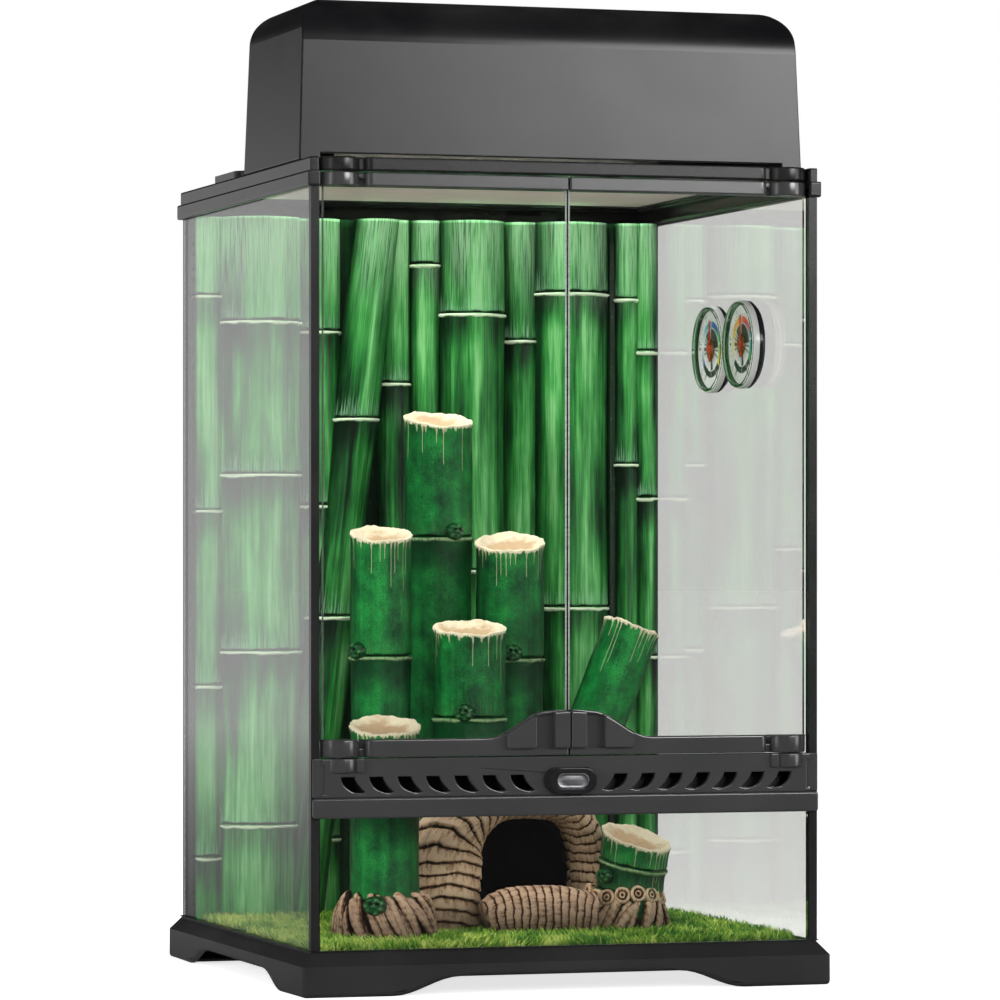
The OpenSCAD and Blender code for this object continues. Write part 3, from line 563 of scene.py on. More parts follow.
def unit(vectors):
    """The same directions with length 1."""
    return vectors / np.linalg.norm(vectors, axis=1, keepdims=True)


def length_along(path):
    """How far each point of a path lies from its start."""
    return np.concatenate([[0], np.cumsum(np.linalg.norm(np.diff(path, axis=0), axis=1))])


def capped(points, first, last):
    """Close a tube: one more row at each end, with all its points in one place."""
    row = np.zeros((1, points.shape[1], 3))
    return np.concatenate([row + first, points, row + last])


def held(values):
    """Repeat the first and the last row, to go with the two rows that capped adds."""
    return np.concatenate([values[:1], values, values[-1:]])


def ripple(x, seed=0.0):
    """Smooth pseudo-random wave between -1 and 1: four sines whose lengths don't fit each other."""
    return (np.sin(1.0 * x + 1.7 * seed) + np.sin(2.3 * x + 2.9 * seed) * 0.7
            + np.sin(4.1 * x + 0.6 * seed) * 0.45 + np.sin(7.9 * x + 4.3 * seed) * 0.3) / 2.45


# %% [markdown]
# ## Painted cane
#
# Bamboo grows in lengths that end in a knot: a thin groove darkened with painted shade, with a pale ridge below it
# and frosted streaks rising above. The relief and the stumps share these marks, so they come from one group. Each
# point carries its distance above the knot below it and below the knot above it.


# %% Node group: marks of a cane's knots
def make_cane_group():
    """Masks for the pale ridge, the painted shade of the groove, the frost above and the shade below, and the
    streaks.

    Frost is 1 minus the distance above the knot over a reach, and the reach follows the fine streaks.
    """
    outputs = ("Ridge", "GrooveShade", "Frost", "Shade", "Broad", "Fine")
    tree, given, result = shader_group("cane_marks", {"Streak": 260.0}, dict.fromkeys(outputs, "Float"))
    local = attribute(tree, "local")
    marks = node(tree, "SeparateXYZ", {0: attribute(tree, "cane")})
    above, below = marks.outputs[0], marks.outputs[1]
    broad = noise(tree, stretched(tree, local, (1, 1, 0.035)), given.outputs["Streak"], 3.0, 0.55)
    fine = noise(tree, stretched(tree, local, (1, 1, 0.03)), 1500.0, 3.0, 0.6)
    wobble = remap(tree, noise(tree, local, 120.0, 2.0), 0.3, 0.7, -0.5, 0.5)
    low = total(tree, below, wobble)
    ridge = times(tree, remap(tree, low, 0.0, 0.5), remap(tree, low, 2.6, 1.4))
    # Painted shade: this mask paints the groove just above a knot nearly black.
    groove = remap(tree, total(tree, above, wobble), 1.9, 0.7)
    reach = remap(tree, fine, 0.35, 0.7, 2.0, 17.0)
    frost = calc(tree, "SUBTRACT", 1.0, calc(tree, "DIVIDE", above, reach), clamp=True)
    frost = times(tree, frost, remap(tree, fine, 0.38, 0.62))
    shade = remap(tree, below, 26.0, 3.0)
    for name, value in zip(outputs, (ridge, groove, frost, shade, broad, fine)):
        wire(tree, value, result.inputs[name])
    return tree


CANE = make_cane_group()
print("marks of a knot:", [socket.name for socket in CANE.interface.items_tree if socket.in_out == "OUTPUT"])

# %% [markdown]
# ### Paint of the bamboo relief
#
# The relief is foam under thin layers of green. A painter starts nearly black, which stands as painted shade on the
# sides of each cane, pulls one broad stroke down the crown of each cane as a painted highlight, and drags a dry
# brush over it; the green is also lighter towards the top, as painted light from above. All of these only change
# how bright the green is, so they are added up first, and a colour ramp turns the sum into greens; only frost,
# ridges and specks have a colour of their own.


# %% Relief paint
def relief_paint():
    """Bamboo relief: nearly black sides as painted shade, a broad bright stroke down each crown as a painted
    highlight, fine streaks and frost.

    How bright the green is comes from one sum: the stroke, two widths of streaks, slow patches up the cane and
    painted light by height.
    """
    made, tree, shader = finish("bamboo_relief_paint", roughness=0.46, Specular_IOR_Level=0.35)
    marks = place_group(tree, CANE, Streak=120.0)
    local = attribute(tree, "local")
    side = axis_of(tree, attribute(tree, "cane"), 2)
    off_crown = calc(tree, "ABSOLUTE", side)
    height = axis_of(tree, object_place(tree), 2)
    wander = noise(tree, stretched(tree, local, (1, 1, 0.22)), 34.0, 3.0, 0.55)
    patch = noise(tree, stretched(tree, local, (1, 1, 0.30)), 46.0, 3.0, 0.6)
    off = calc(tree, "SUBTRACT", side, remap(tree, wander, 0.3, 0.7, -0.35, 0.35))
    # Painted highlight: a broad light stroke down the part of each cane that faces the front.
    crown_highlight = remap(tree, calc(tree, "ABSOLUTE", off), 0.95, 0.05)
    streak = noise(tree, stretched(tree, local, (1, 1, 0.03)), 420.0, 3.0, 0.6)
    # The two terms by height are painted light: lighter towards the top, where light falls in from above, and a
    # little lighter again low down.
    tone = total(tree, times(tree, crown_highlight, 0.38), 0.13,
                 remap(tree, marks["Broad"], 0.25, 0.75, -0.24, 0.30, smooth=False),
                 remap(tree, streak, 0.25, 0.75, -0.20, 0.20, smooth=False),
                 remap(tree, patch, 0.30, 0.70, -0.13, 0.26, smooth=False),
                 remap(tree, marks["Fine"], 0.3, 0.7, -0.09, 0.09, smooth=False),
                 remap(tree, height, 0.25, 0.43, 0.0, 0.12), remap(tree, height, 0.30, 0.12, 0.0, 0.09))
    tone = calc(tree, "SUBTRACT", tone, times(tree, marks["Shade"], 0.30))
    green = shades(tree, tone, (
        (0.02, (0.001, 0.010, 0.003)), (0.20, (0.003, 0.040, 0.009)), (0.38, (0.010, 0.125, 0.020)),
        (0.54, (0.027, 0.236, 0.040)), (0.70, (0.072, 0.390, 0.084)), (0.92, (0.240, 0.620, 0.230))))
    # Painted shade: the sides of each cane, turned away from the front, go nearly black, and only there get specks.
    edge = calc(tree, "POWER", off_crown, 6.5)
    # Pale streaks near the top of the relief: partly frost, partly painted light falling in from above.
    top_frost_and_light = times(tree, remap(tree, height, 0.37, 0.435), remap(tree, marks["Fine"], 0.3, 0.6))
    top_frost_and_light = times(tree, top_frost_and_light, remap(tree, off_crown, 1.0, 0.5))
    specks = remap(tree, noise(tree, object_place(tree), 900.0, 2.0, 0.7), 0.70, 0.74)
    green = coats(tree, green,
                  (times(tree, edge, 0.92), (0.001, 0.009, 0.003)),
                  (times(tree, top_frost_and_light, 0.85), (0.42, 0.80, 0.44)),
                  (times(tree, marks["Frost"], 0.75), (0.30, 0.62, 0.36)),
                  (marks["GrooveShade"], (0.001, 0.005, 0.002)),
                  (marks["Ridge"], (0.70, 0.84, 0.60)),
                  (times(tree, specks, edge), (0.30, 0.46, 0.24)))
    wire(tree, green, shader.inputs["Base Color"])
    brushed = total(tree, times(tree, marks["Fine"], 0.6), times(tree, streak, 0.6))
    wire(tree, bump(tree, brushed, 0.0005, 0.7), shader.inputs["Normal"])
    return made


RELIEF = relief_paint()
print("nodes in the relief's paint:", len(RELIEF.node_tree.nodes))

# %% [markdown]
# ### The bamboo relief
#
# The background is one block of foam with half canes standing out of it. Their places, widths and knots were
# measured in the photograph. A cane's radius narrows a little between knots, swells into a ridge just below a
# knot and drops into a groove just above.

# %% Canes of the background and the profile of a cane
DECOR_FLOOR = 22.5
INNER_WALL = 138.4
PANEL_TOP = 432.4
PANEL_BACK = 133.5
# Each cane: x, y, radius, heights of its knots, and how far it leans over 100 mm
CANES = [
    (-131, 125, 12, (60, 160, 262, 387), 0),
    (-100, 122, 25, (79, 180, 283, 372), 0),
    (-66, 124, 12.5, (70, 161, 265, 367), 0),
    (-33, 116, 13.6, (200, 316), 11.4),
    (-22, 122, 10.5, (96, 210, 337), 0),
    (-2, 121, 10, (130, 270, 407), 0),
    (25, 118, 20.5, (80, 227, 378), 0),
    (56, 120, 11.5, (110, 240, 363), 0),
    (86, 118, 24, (66, 205, 391), 0),
    (119, 108, 8, (90, 180, 290, 388), 0),
    (130, 106, 7.5, (60, 176, 270, 357), 0),
]
CANE_COLUMNS = 45
FAR = 400.0
# The canes left of this x are seen through the side wall, more from their flank: the painted shade on their sides is
# thinner
WALL_CANES = -60
WALL_SIDE = 0.55
KNOT_ROWS = np.array([-3.4, -2.6, -2.0, -1.4, -0.9, -0.4, 0.0, 0.4, 0.9, 1.5, 2.4, 3.6])


def rows_with_knots(low, high, knots, pitch):
    """Heights from low to high, with extra rows close to each knot."""
    rows = [np.arange(low, high, pitch), np.array([high])]
    rows += [knot + KNOT_ROWS for knot in knots]
    rows = np.unique(np.round(np.concatenate(rows), 2))
    return rows[(rows >= low) & (rows <= high)]


def knot_distances(heights, knots):
    """Distance above the nearest knot below, and below the nearest knot above; FAR where there is none."""
    gap = heights[:, None] - np.asarray(knots, float)[None, :]
    above = np.where(gap >= 0, gap, FAR).min(axis=1, initial=FAR)
    below = np.where(gap < 0, -gap, FAR).min(axis=1, initial=FAR)
    return above, below


def cane_radius(radius, above, below):
    """Radius at a height: a slack waist between knots, a ridge below each knot, a groove above it."""
    length = np.minimum(above + below, FAR)
    waist = 0.035 * radius * np.sin(np.pi * np.clip(above / np.maximum(length, 1), 0, 1))
    ridge = np.exp(-((below - 1.2) / 1.1) ** 2)
    groove = 1.5 * np.exp(-(above / 0.9) ** 2)
    return radius - waist + ridge - groove


# %% [markdown]
# ### Half canes and the board behind them
#
# Each cane is a half tube: columns go round its front, rows climb it, closer together at the knots. A board
# fills the gaps between them. One grid for the whole relief would be simpler, but it couldn't undercut, and
# the dark gaps beside round canes are what makes them look round.


# %% Build the relief
def relief_cane(shape, x, y, radius, knots, lean, seed):
    """Half tube: the point at angle t is x + r sin t, y - r cos t, carried sideways by the lean."""
    heights = rows_with_knots(DECOR_FLOOR, PANEL_TOP, knots, 3.0)
    above, below = knot_distances(heights, knots)
    turn = np.radians(np.linspace(-104, 104, CANE_COLUMNS))
    r = cane_radius(radius, above, below)[:, None] + 0.25 * ripple(turn[None, :] * 5 + heights[:, None] * 0.004, seed)
    centre = x + (heights - PANEL_TOP) * lean / 100.0
    px = centre[:, None] + r * np.sin(turn)
    py = np.minimum(y - r * np.cos(turn), PANEL_BACK - 3)
    px = np.clip(px, -INNER_WALL, INNER_WALL)
    ones = np.ones_like(r)
    pz = heights[:, None] * ones
    points = np.stack([px, py, pz], axis=-1)
    lid = np.tile([centre[-1], PANEL_BACK - 4, PANEL_TOP], (CANE_COLUMNS, 1))
    points = np.concatenate([points, lid[None]])
    local = np.stack([r * np.sin(turn) + seed * 41, -r * np.cos(turn) + seed * 17,
                      pz + seed * 70], axis=-1) * MM
    side = (WALL_SIDE if x < WALL_CANES else 1.0) * np.sin(turn) * ones
    cane = np.stack([above[:, None] * ones, below[:, None] * ones, side], axis=-1)
    local, cane = (np.concatenate([values, values[-1:]]) for values in (local, cane))
    shape.add(points, local=local, cane=cane)


def backing_board(shape, low, high, front):
    """Upright slab behind the canes: its front and its other faces wrap round as one closed grid."""
    x = np.linspace(low, high, 60)
    z = np.linspace(DECOR_FLOOR, PANEL_TOP, 80)
    outline = [(x[0], PANEL_BACK), (x[0], front)] + [(v, front) for v in x[1:-1]]
    outline = np.array(outline + [(x[-1], front), (x[-1], PANEL_BACK)])
    points = np.stack(np.broadcast_arrays(outline[:, 0], outline[:, 1], z[:, None]), axis=-1)
    middle = np.array([(low + high) / 2, (front + PANEL_BACK) / 2, 0.0])
    points = capped(points, middle + [0, 0, z[0]], middle + [0, 0, z[-1]])
    # A side value near 1 paints the board nearly black: painted shade in the gaps between the canes.
    cane = np.broadcast_to(np.array([200.0, 200.0, 0.985]), points.shape)
    shape.add(points, wrap=True, local=points * MM + 0.5, cane=cane)


relief = Surface()
for number, (x, y, radius, knots, lean) in enumerate(CANES):
    relief_cane(relief, x, y, radius, knots, lean, number + 1.0)
backing_board(relief, -INNER_WALL, INNER_WALL, 119.0)
backing_board(relief, 108.0, INNER_WALL, 106.0)
bamboo_relief = relief.piece("bamboo_relief", RELIEF, slot="bamboo_relief", replaces=["background_panel"])
print("bamboo relief:", len(bamboo_relief.data.polygons), "faces")

# %% [markdown]
# ### Cane stumps
#
# A stump is a sawn-off cane. Its wall climbs to an uneven rim, turns over it and dips into a shallow cup of
# pith. The paint runs down from the rim in thin cream drips, longer in some places than in others: a noise
# that only changes round the cane, compared with the distance from the rim, gives drips that taper by
# themselves.


# %% Stump paint
def paint_drips(tree, turn, cut, wander):
    """Thin runs of paint down from the rim: lines at random places round the cane, each of its own length.

    One cell of a random pattern lies every 9 degrees. Its distance gives the line, its colour the length.
    """
    place = total(tree, times(tree, turn, 40.0), times(tree, wander, 0.30))
    cells = node(tree, "TexVoronoi", {"W": place, "Scale": 1.0}, voronoi_dimensions="1D")
    chance = node(tree, "SeparateColor", {0: cells.outputs["Color"]}).outputs[0]
    length = times(tree, calc(tree, "POWER", chance, 2.0), 33.0)
    width = remap(tree, cut, 1.0, 6.0, 0.30, 0.085, smooth=False)
    line = remap(tree, calc(tree, "SUBTRACT", width, cells.outputs["Distance"]), 0.0, 0.05)
    return times(tree, line, remap(tree, calc(tree, "SUBTRACT", length, cut), -1.0, 0.8))


def stump_paint():
    """Cloudy greens with painted shade where the cane turns away from the front, then grit, knots, drips, and last
    the rim and the pith.

    A point's distance below the cut tells them apart: lip where it is small, pith where it is negative.
    """
    made, tree, shader = finish("stump_paint", roughness=0.40, Specular_IOR_Level=0.35)
    marks = place_group(tree, CANE, Streak=150.0)
    local = attribute(tree, "local")
    cut = axis_of(tree, attribute(tree, "cane"), 2)
    around = node(tree, "SeparateXYZ", {0: attribute(tree, "round")})
    turn, front = around.outputs[0], around.outputs[1]
    cloud = noise(tree, local, 75.0, 5.0, 0.65)
    grit = noise(tree, local, 1300.0, 3.0, 0.75)
    dry = noise(tree, stretched(tree, local, (1, 1, 0.12)), 700.0, 3.0, 0.7)
    tone = total(tree, times(tree, cloud, 0.62), times(tree, marks["Broad"], 0.38))
    green = shades(tree, tone, (
        (0.36, (0.002, 0.055, 0.014)), (0.50, (0.005, 0.165, 0.030)), (0.64, (0.014, 0.320, 0.052))))
    drip = times(tree, paint_drips(tree, turn, cut, cloud), remap(tree, dry, 0.26, 0.42, 0.45, 1.0))
    lip = remap(tree, total(tree, cut, remap(tree, dry, 0.3, 0.7, -1.2, 1.2)), 1.6, 0.8)
    pith = remap(tree, total(tree, cut, remap(tree, cloud, 0.3, 0.7, -3.5, 3.5)), -2.0, -9.0)
    # The first coat is painted shade on the sides that turn away from the front.
    green = coats(tree, green,
                  (remap(tree, front, 0.80, -0.15, 0.0, 0.88), (0.001, 0.016, 0.006)),
                  (remap(tree, grit, 0.50, 0.64, 0.0, 0.65), (0.001, 0.022, 0.008)),
                  (remap(tree, grit, 0.38, 0.30, 0.0, 0.35), (0.12, 0.42, 0.14)),
                  (times(tree, marks["Shade"], 0.75), (0.001, 0.020, 0.007)),
                  (times(tree, marks["Frost"], 0.20), (0.20, 0.44, 0.16)),
                  (marks["GrooveShade"], (0.001, 0.006, 0.002)),
                  (times(tree, marks["Ridge"], remap(tree, dry, 0.3, 0.6, 0.25, 0.9)), (0.36, 0.52, 0.26)),
                  (times(tree, drip, 0.85), (0.47, 0.48, 0.28)),
                  (lip, (0.78, 0.70, 0.50)),
                  (times(tree, pith, 0.90), (0.52, 0.35, 0.20)))
    wire(tree, green, shader.inputs["Base Color"])
    wire(tree, remap(tree, lip, 0.0, 1.0, 0.40, 0.78), shader.inputs["Roughness"])
    rough_coat = total(tree, times(tree, grit, 0.7), times(tree, dry, 0.3))
    wire(tree, bump(tree, rough_coat, 0.0009, 0.8), shader.inputs["Normal"])
    return made


STUMP = stump_paint()
print("nodes in the stumps' paint:", len(STUMP.node_tree.nodes))

# %% [markdown]
# ### The form of a stump
#
# A stump is one grid from its foot up the wall, over the rim and down into the cup. A cup cut out of a cylinder
# would leave a hard, even rim; in one grid the rim can rise and fall. The grid also carries the distance below
# the cut, which the paint needs for its drips and its pith.


# %% Build one stump
def turned(points, lean_x, lean_y, origin):
    """Lean points over by two small turns about the X and Y axes, then move them to their place."""
    a, b = math.radians(lean_x), math.radians(lean_y)
    about_x = np.array([[1, 0, 0], [0, math.cos(a), -math.sin(a)], [0, math.sin(a), math.cos(a)]])
    about_y = np.array([[math.cos(b), 0, math.sin(b)], [0, 1, 0], [-math.sin(b), 0, math.cos(b)]])
    return points @ (about_x @ about_y).T + np.asarray(origin, float)


# Shape of the cup: how far each ring is from the middle, as a share of the rim, and how deep it lies
CUP_RINGS = np.array([0.985, 0.95, 0.90, 0.84, 0.77, 0.69, 0.60, 0.50, 0.39, 0.27, 0.14, 0.0])
CUP_DIP = np.array([0.35, 0.45, 0.2, -0.5, -1.4, -2.2, -2.8, -3.1, -3.4, -3.5, -3.6, -3.6])
NO_KNOT = 200.0


def stump_surface(shape, origin, low, high, radius, knots, seed, lean=(0, 0), tilt=(0.0, 0.0)):
    """Wall, rim and cup of a cut cane as one grid from the foot to the middle of the cup.

    The wall's radius follows the knots; the rim rises and falls by a ripple; in the cup, the distance from
    the rim counts on as a negative number, so that the paint can tell wall, rim and pith apart.
    """
    turn = circle(144, 90)
    heights = rows_with_knots(low, high, knots, 2.6)
    above, below = knot_distances(heights, knots)
    r = cane_radius(radius, above, below)[:, None] * (1 + 0.014 * ripple(turn * 2, seed))[None, :]
    r = r + 0.35 * ripple(turn[None, :] * 3 + heights[:, None] * 0.06, seed + 1)
    r = r + np.exp(-(high - heights) / 3.0)[:, None] * (0.8 + 0.6 * ripple(turn * 7, seed + 3))[None, :]
    rise = 0.8 * ripple(turn * 4, seed + 5) + tilt[0] * np.cos(turn) + tilt[1] * np.sin(turn)
    near_top = np.clip((heights - (high - 40)) / 40, 0, 1)[:, None] ** 2
    z = heights[:, None] + near_top * rise[None, :]
    inward = CUP_RINGS[:, None]
    uneven = 1 + 0.03 * ripple(turn * 4, seed + 8)[None, :] * (inward < 0.9)
    gritty = 0.45 * ripple(turn[None, :] * 6 + 22 * inward, seed + 2) * (inward > 0.05)
    cup_r = r[-1][None, :] * inward * uneven
    cup_z = high + rise[None, :] * inward + CUP_DIP[:, None] + gritty
    cut = np.concatenate([high - heights[:, None] + np.zeros_like(r), (inward - 1) * radius + 0 * cup_r])
    foot = np.zeros((1, len(turn)))
    r = np.concatenate([foot, r, cup_r])
    z = np.concatenate([foot + low, z, cup_z])
    cut = np.concatenate([cut[:1], cut])
    above, below = (np.pad(values, (1, len(CUP_RINGS)), constant_values=NO_KNOT) for values in (above, below))
    points = np.stack([r * np.cos(turn), r * np.sin(turn), z], axis=-1)
    local = (points + [seed * 43, seed * 19, seed * 31]) * MM
    cane = np.stack(np.broadcast_arrays(above[:, None], below[:, None], cut), axis=-1)
    # How far each column faces the front, turned by 12 degrees; the paint lays painted shade where it faces away.
    front = -np.sin(turn + math.radians(12))
    rounds = np.stack(np.broadcast_arrays(turn / (2 * np.pi) + seed * 0.37, front, 0 * r), axis=-1)
    shape.add(turned(points, lean[0], lean[1], origin), wrap=True, local=local, cane=cane, round=rounds)


# %% [markdown]
# ### Side buds
#
# Where a branch was cut off close to a knot, a knobbly bud is left. A ball of latitudes and longitudes is pushed
# out by a crowd of soft bumps and in by two small ones. The same bumps say where the painted shade lies. A bud
# could be sculpted by hand, but a formula makes each of them a little different with another seed.

# %% Shape of a side bud
BUD_LUMPS = [(-0.62, 0.30), (-0.20, 0.62), (0.34, 0.56), (0.66, 0.12), (0.42, -0.42), (-0.08, -0.62),
             (-0.58, -0.26), (0.02, 0.08)]
BUD_EYES = [(-0.26, 0.30), (0.24, 0.26)]


def bud(shape, centre, facing, size, seed):
    """Knobbly side bud: a flattened ball with a crowd of lumps on it and two small eyes pressed in, dark with painted
    shade.

    Each lump and eye is a bell curve of the distance from its own place on the bud's face.
    """
    lat = np.radians(np.linspace(-90, 90, 41))
    lon = circle(60)
    x = np.cos(lat)[:, None] * np.cos(lon)[None, :]
    z = np.cos(lat)[:, None] * np.sin(lon)[None, :]
    y = -np.sin(lat)[:, None] * np.ones_like(lon)[None, :]
    sway = 0.35 * math.sin(seed * 2.1)
    spots = [(math.cos(sway) * a - math.sin(sway) * b, math.sin(sway) * a + math.cos(sway) * b)
             for a, b in BUD_LUMPS]
    lumps = sum(0.13 * np.exp(-((x - a) ** 2 + (z - b) ** 2) / 0.045) for a, b in spots) * (y < 0.5)
    eyes = sum(0.36 * np.exp(-((x - a) ** 2 + (z - b) ** 2) / 0.013) * (y < 0) for a, b in BUD_EYES)
    r = size * (0.90 + lumps - eyes + 0.04 * ripple(5 * x + 7 * z, seed))
    points = np.stack([x * r * 1.15, y * r * 0.95, z * r * 0.95], axis=-1)
    a = math.radians(facing)
    spin = np.array([[math.cos(a), -math.sin(a), 0], [math.sin(a), math.cos(a), 0], [0, 0, 1]])
    points = points @ spin.T + np.asarray(centre, float)
    # How deep a point lies: deep hollows and eyes get painted shade, high lumps a painted highlight.
    depth = np.clip(eyes * 3.2 + 0.66 - lumps * 3.2, 0, 1)
    shape.add(points, wrap=True, flip=True, fold=depth, local=points * MM)


# %% [markdown]
# ### Paint of the buds
#
# Buds are painted like the stumps, but their folds and eyes are picked out: painted shade in the hollows and a
# painted highlight on the crests.


# %% Bud paint
def bud_paint():
    """Painted highlight on pale green crests and painted shade in nearly black hollows, by how deep a point lies,
    with a little grit.
    """
    made, tree, shader = finish("bud_paint", roughness=0.4)
    fold = attribute(tree, "fold", "Fac")
    grit = noise(tree, attribute(tree, "local"), 900.0, 3.0, 0.7)
    mix = total(tree, fold, remap(tree, grit, 0.3, 0.7, -0.2, 0.2))
    colour = shades(tree, mix, ((0.05, (0.16, 0.30, 0.13)), (0.36, (0.012, 0.110, 0.028)),
                                (0.72, (0.001, 0.012, 0.004))))
    wire(tree, colour, shader.inputs["Base Color"])
    wire(tree, bump(tree, grit, 0.0004, 0.5), shader.inputs["Normal"])
    return made


BUD = bud_paint()
print("bud paint:", BUD.name)

# %% [markdown]
# ### The five stumps above the hide
#
# Their places, heights and knots come from the photograph. The last one leans to the right. Two of them grow
# out of the hide, so their feet are sunk a little way into its roof.

# %% Stumps above the hide
SUNK_FOOT = 91.0
# Each stump: x, y, foot, top, radius, heights of its knots, turn and height of each bud
STUMPS = {
    "tall_stump": (-11.5, 62, DECOR_FLOOR, 314.5, 20.3, (126, 246), ((11, 249),)),
    "left_stump": (-60.6, 12, DECOR_FLOOR, 248, 18.2, (98, 178.5), ((-64, 181.5),)),
    "right_stump": (23.6, 36, DECOR_FLOOR, 243.5, 20.4, (90, 176.5), ((-13, 179.5),)),
    "middle_stump": (-13.1, -5, SUNK_FOOT, 195, 21, (143.9,), ((-26, 146.9),)),
}
BUD_SIZE = 5.8
RIM_DROP, RIDGE_ROOM = 0.6, 0.75
# How far the cut rises on the right and at the back, in millimetres
RIM_TILT = {"tall_stump": (-0.4, 4.6), "left_stump": (0.6, 4.2), "right_stump": (1.6, 5.2),
            "middle_stump": (0.8, 3.8)}

for number, (name, (x, y, low, high, radius, knots, buds)) in enumerate(STUMPS.items()):
    shape = Surface()
    stump_surface(shape, (x, y, 0), low, high - RIM_DROP, radius - RIDGE_ROOM, knots, number + 2.0,
                  tilt=RIM_TILT[name])
    shape.piece(name + "_cane", STUMP, slot="cane_stump", replaces=[name])
    shape = Surface()
    for turn, height in buds:
        a = math.radians(turn)
        centre = (x + (radius - 1) * math.sin(a), y - (radius - 1) * math.cos(a), height)
        bud(shape, centre, turn, BUD_SIZE, number + 1.0)
    shape.piece(name + "_bud", BUD, slot="cane_stump")

LEAN_FOOT = (50, 0, 104)
LEAN_ANGLE = 21.5
LEAN_SPAN = (-13, 97.2)
shape = Surface()
stump_surface(shape, LEAN_FOOT, *LEAN_SPAN, 16.2, (36,), 9.0, lean=(0, LEAN_ANGLE))
shape.piece("leaning_stump_cane", STUMP, slot="cane_stump", replaces=["leaning_stump"])
print("five stumps above the hide")

# %% [markdown]
# ## Roots
#
# The hide is cast to look like bamboo rhizome: fat ribbed roots. Ribs run square to each root's path and
# wander a little. Every point carries how deep it lies between two ribs, and the paint lays dark brown painted
# shade there and is sandy on the crests.


# %% Root paint
def root_paint(name, crest, flank, hollow, shine=0.3):
    """Dry-brushed root: painted shade in the hollows, scratches along the root, darker near the ground."""
    made, tree, shader = finish(name, roughness=0.60, Specular_IOR_Level=shine)
    place = object_place(tree)
    grit = noise(tree, place, 800.0, 4.0, 0.7)
    scratch = noise(tree, stretched(tree, attribute(tree, "grain"), (1, 1, 0.16)), 900.0, 3.0, 0.65)
    blotch = remap(tree, noise(tree, place, 80.0, 4.0, 0.6), 0.45, 0.72, 0.0, 0.50)
    # How deep a point lies in a fold becomes painted shade in the hollows.
    mix = total(tree, attribute(tree, "fold", "Fac"), remap(tree, grit, 0.3, 0.7, -0.12, 0.12),
                remap(tree, scratch, 0.3, 0.7, -0.20, 0.26))
    # Darker close to the ground.
    low_darkening = times(tree, remap(tree, axis_of(tree, place, 2), 0.056, 0.026), 0.70)
    colour = shades(tree, mix, ((0.08, crest), (0.40, flank), (0.66, hollow)))
    wire(tree, coats(tree, colour, (blotch, flank), (low_darkening, hollow)), shader.inputs["Base Color"])
    height = total(tree, times(tree, grit, 0.4), times(tree, scratch, 0.7))
    wire(tree, bump(tree, height, 0.0009, 0.8), shader.inputs["Normal"])
    return made


ROOT = root_paint("root_paint", (0.86, 0.63, 0.42), (0.38, 0.215, 0.105), (0.016, 0.008, 0.004))
ROOT_RED = root_paint("rhizome_paint", (0.70, 0.48, 0.33), (0.27, 0.138, 0.072), (0.016, 0.008, 0.004))
# Nearly black paint for the wall inside the cave: painted shade.
CAVE_SHADE = root_paint("cave_shade_paint", (0.006, 0.004, 0.003), (0.003, 0.002, 0.001), (0.001, 0.0005, 0.0005), shine=0.0)
print("root paints:", ROOT.name, ROOT_RED.name, CAVE_SHADE.name)

# %% [markdown]
# ### Roots as ribbed tubes
#
# Hide and log are tubes along bent paths. Their surface climbs steeply out of a groove and slopes down to the
# next one, like scales that overlap. A bump map would draw such ribs too, but it leaves the outline smooth,
# so the ribs are in the points.


# %% A ribbed tube along a path
def smooth_path(knots, count):
    """Catmull-Rom curve through the given points: each stretch bends with its neighbours."""
    knots = np.asarray(knots, float)
    padded = np.concatenate([[2 * knots[0] - knots[1]], knots, [2 * knots[-1] - knots[-2]]])
    t = np.linspace(0, len(knots) - 1 - 1e-9, count)
    i = t.astype(int)
    f = (t - i)[:, None]
    a, b, c, d = padded[i], padded[i + 1], padded[i + 2], padded[i + 3]
    return 0.5 * (2 * b + (c - a) * f + (2 * a - 5 * b + 4 * c - d) * f ** 2 + (3 * b - a - 3 * c + d) * f ** 3)


def frames_along(path):
    """Two directions square to the path and to each other: one towards the front, one across."""
    forward = unit(np.gradient(path, axis=0))
    across = unit(np.cross(forward, [0.0, -1.0, 0.0]))
    return np.cross(across, forward), across


def scale_wave(phase):
    """Height of overlapping rings from 0 to 1: a steep climb out of a narrow groove, then a long slope."""
    part = phase - np.floor(phase)
    climb = np.clip(part / 0.20, 0, 1)
    fall = np.clip((1 - part) / 0.13, 0, 1)
    soft = climb * climb * (3 - 2 * climb) * fall ** 0.7
    return soft * (1.0 - 0.35 * part)


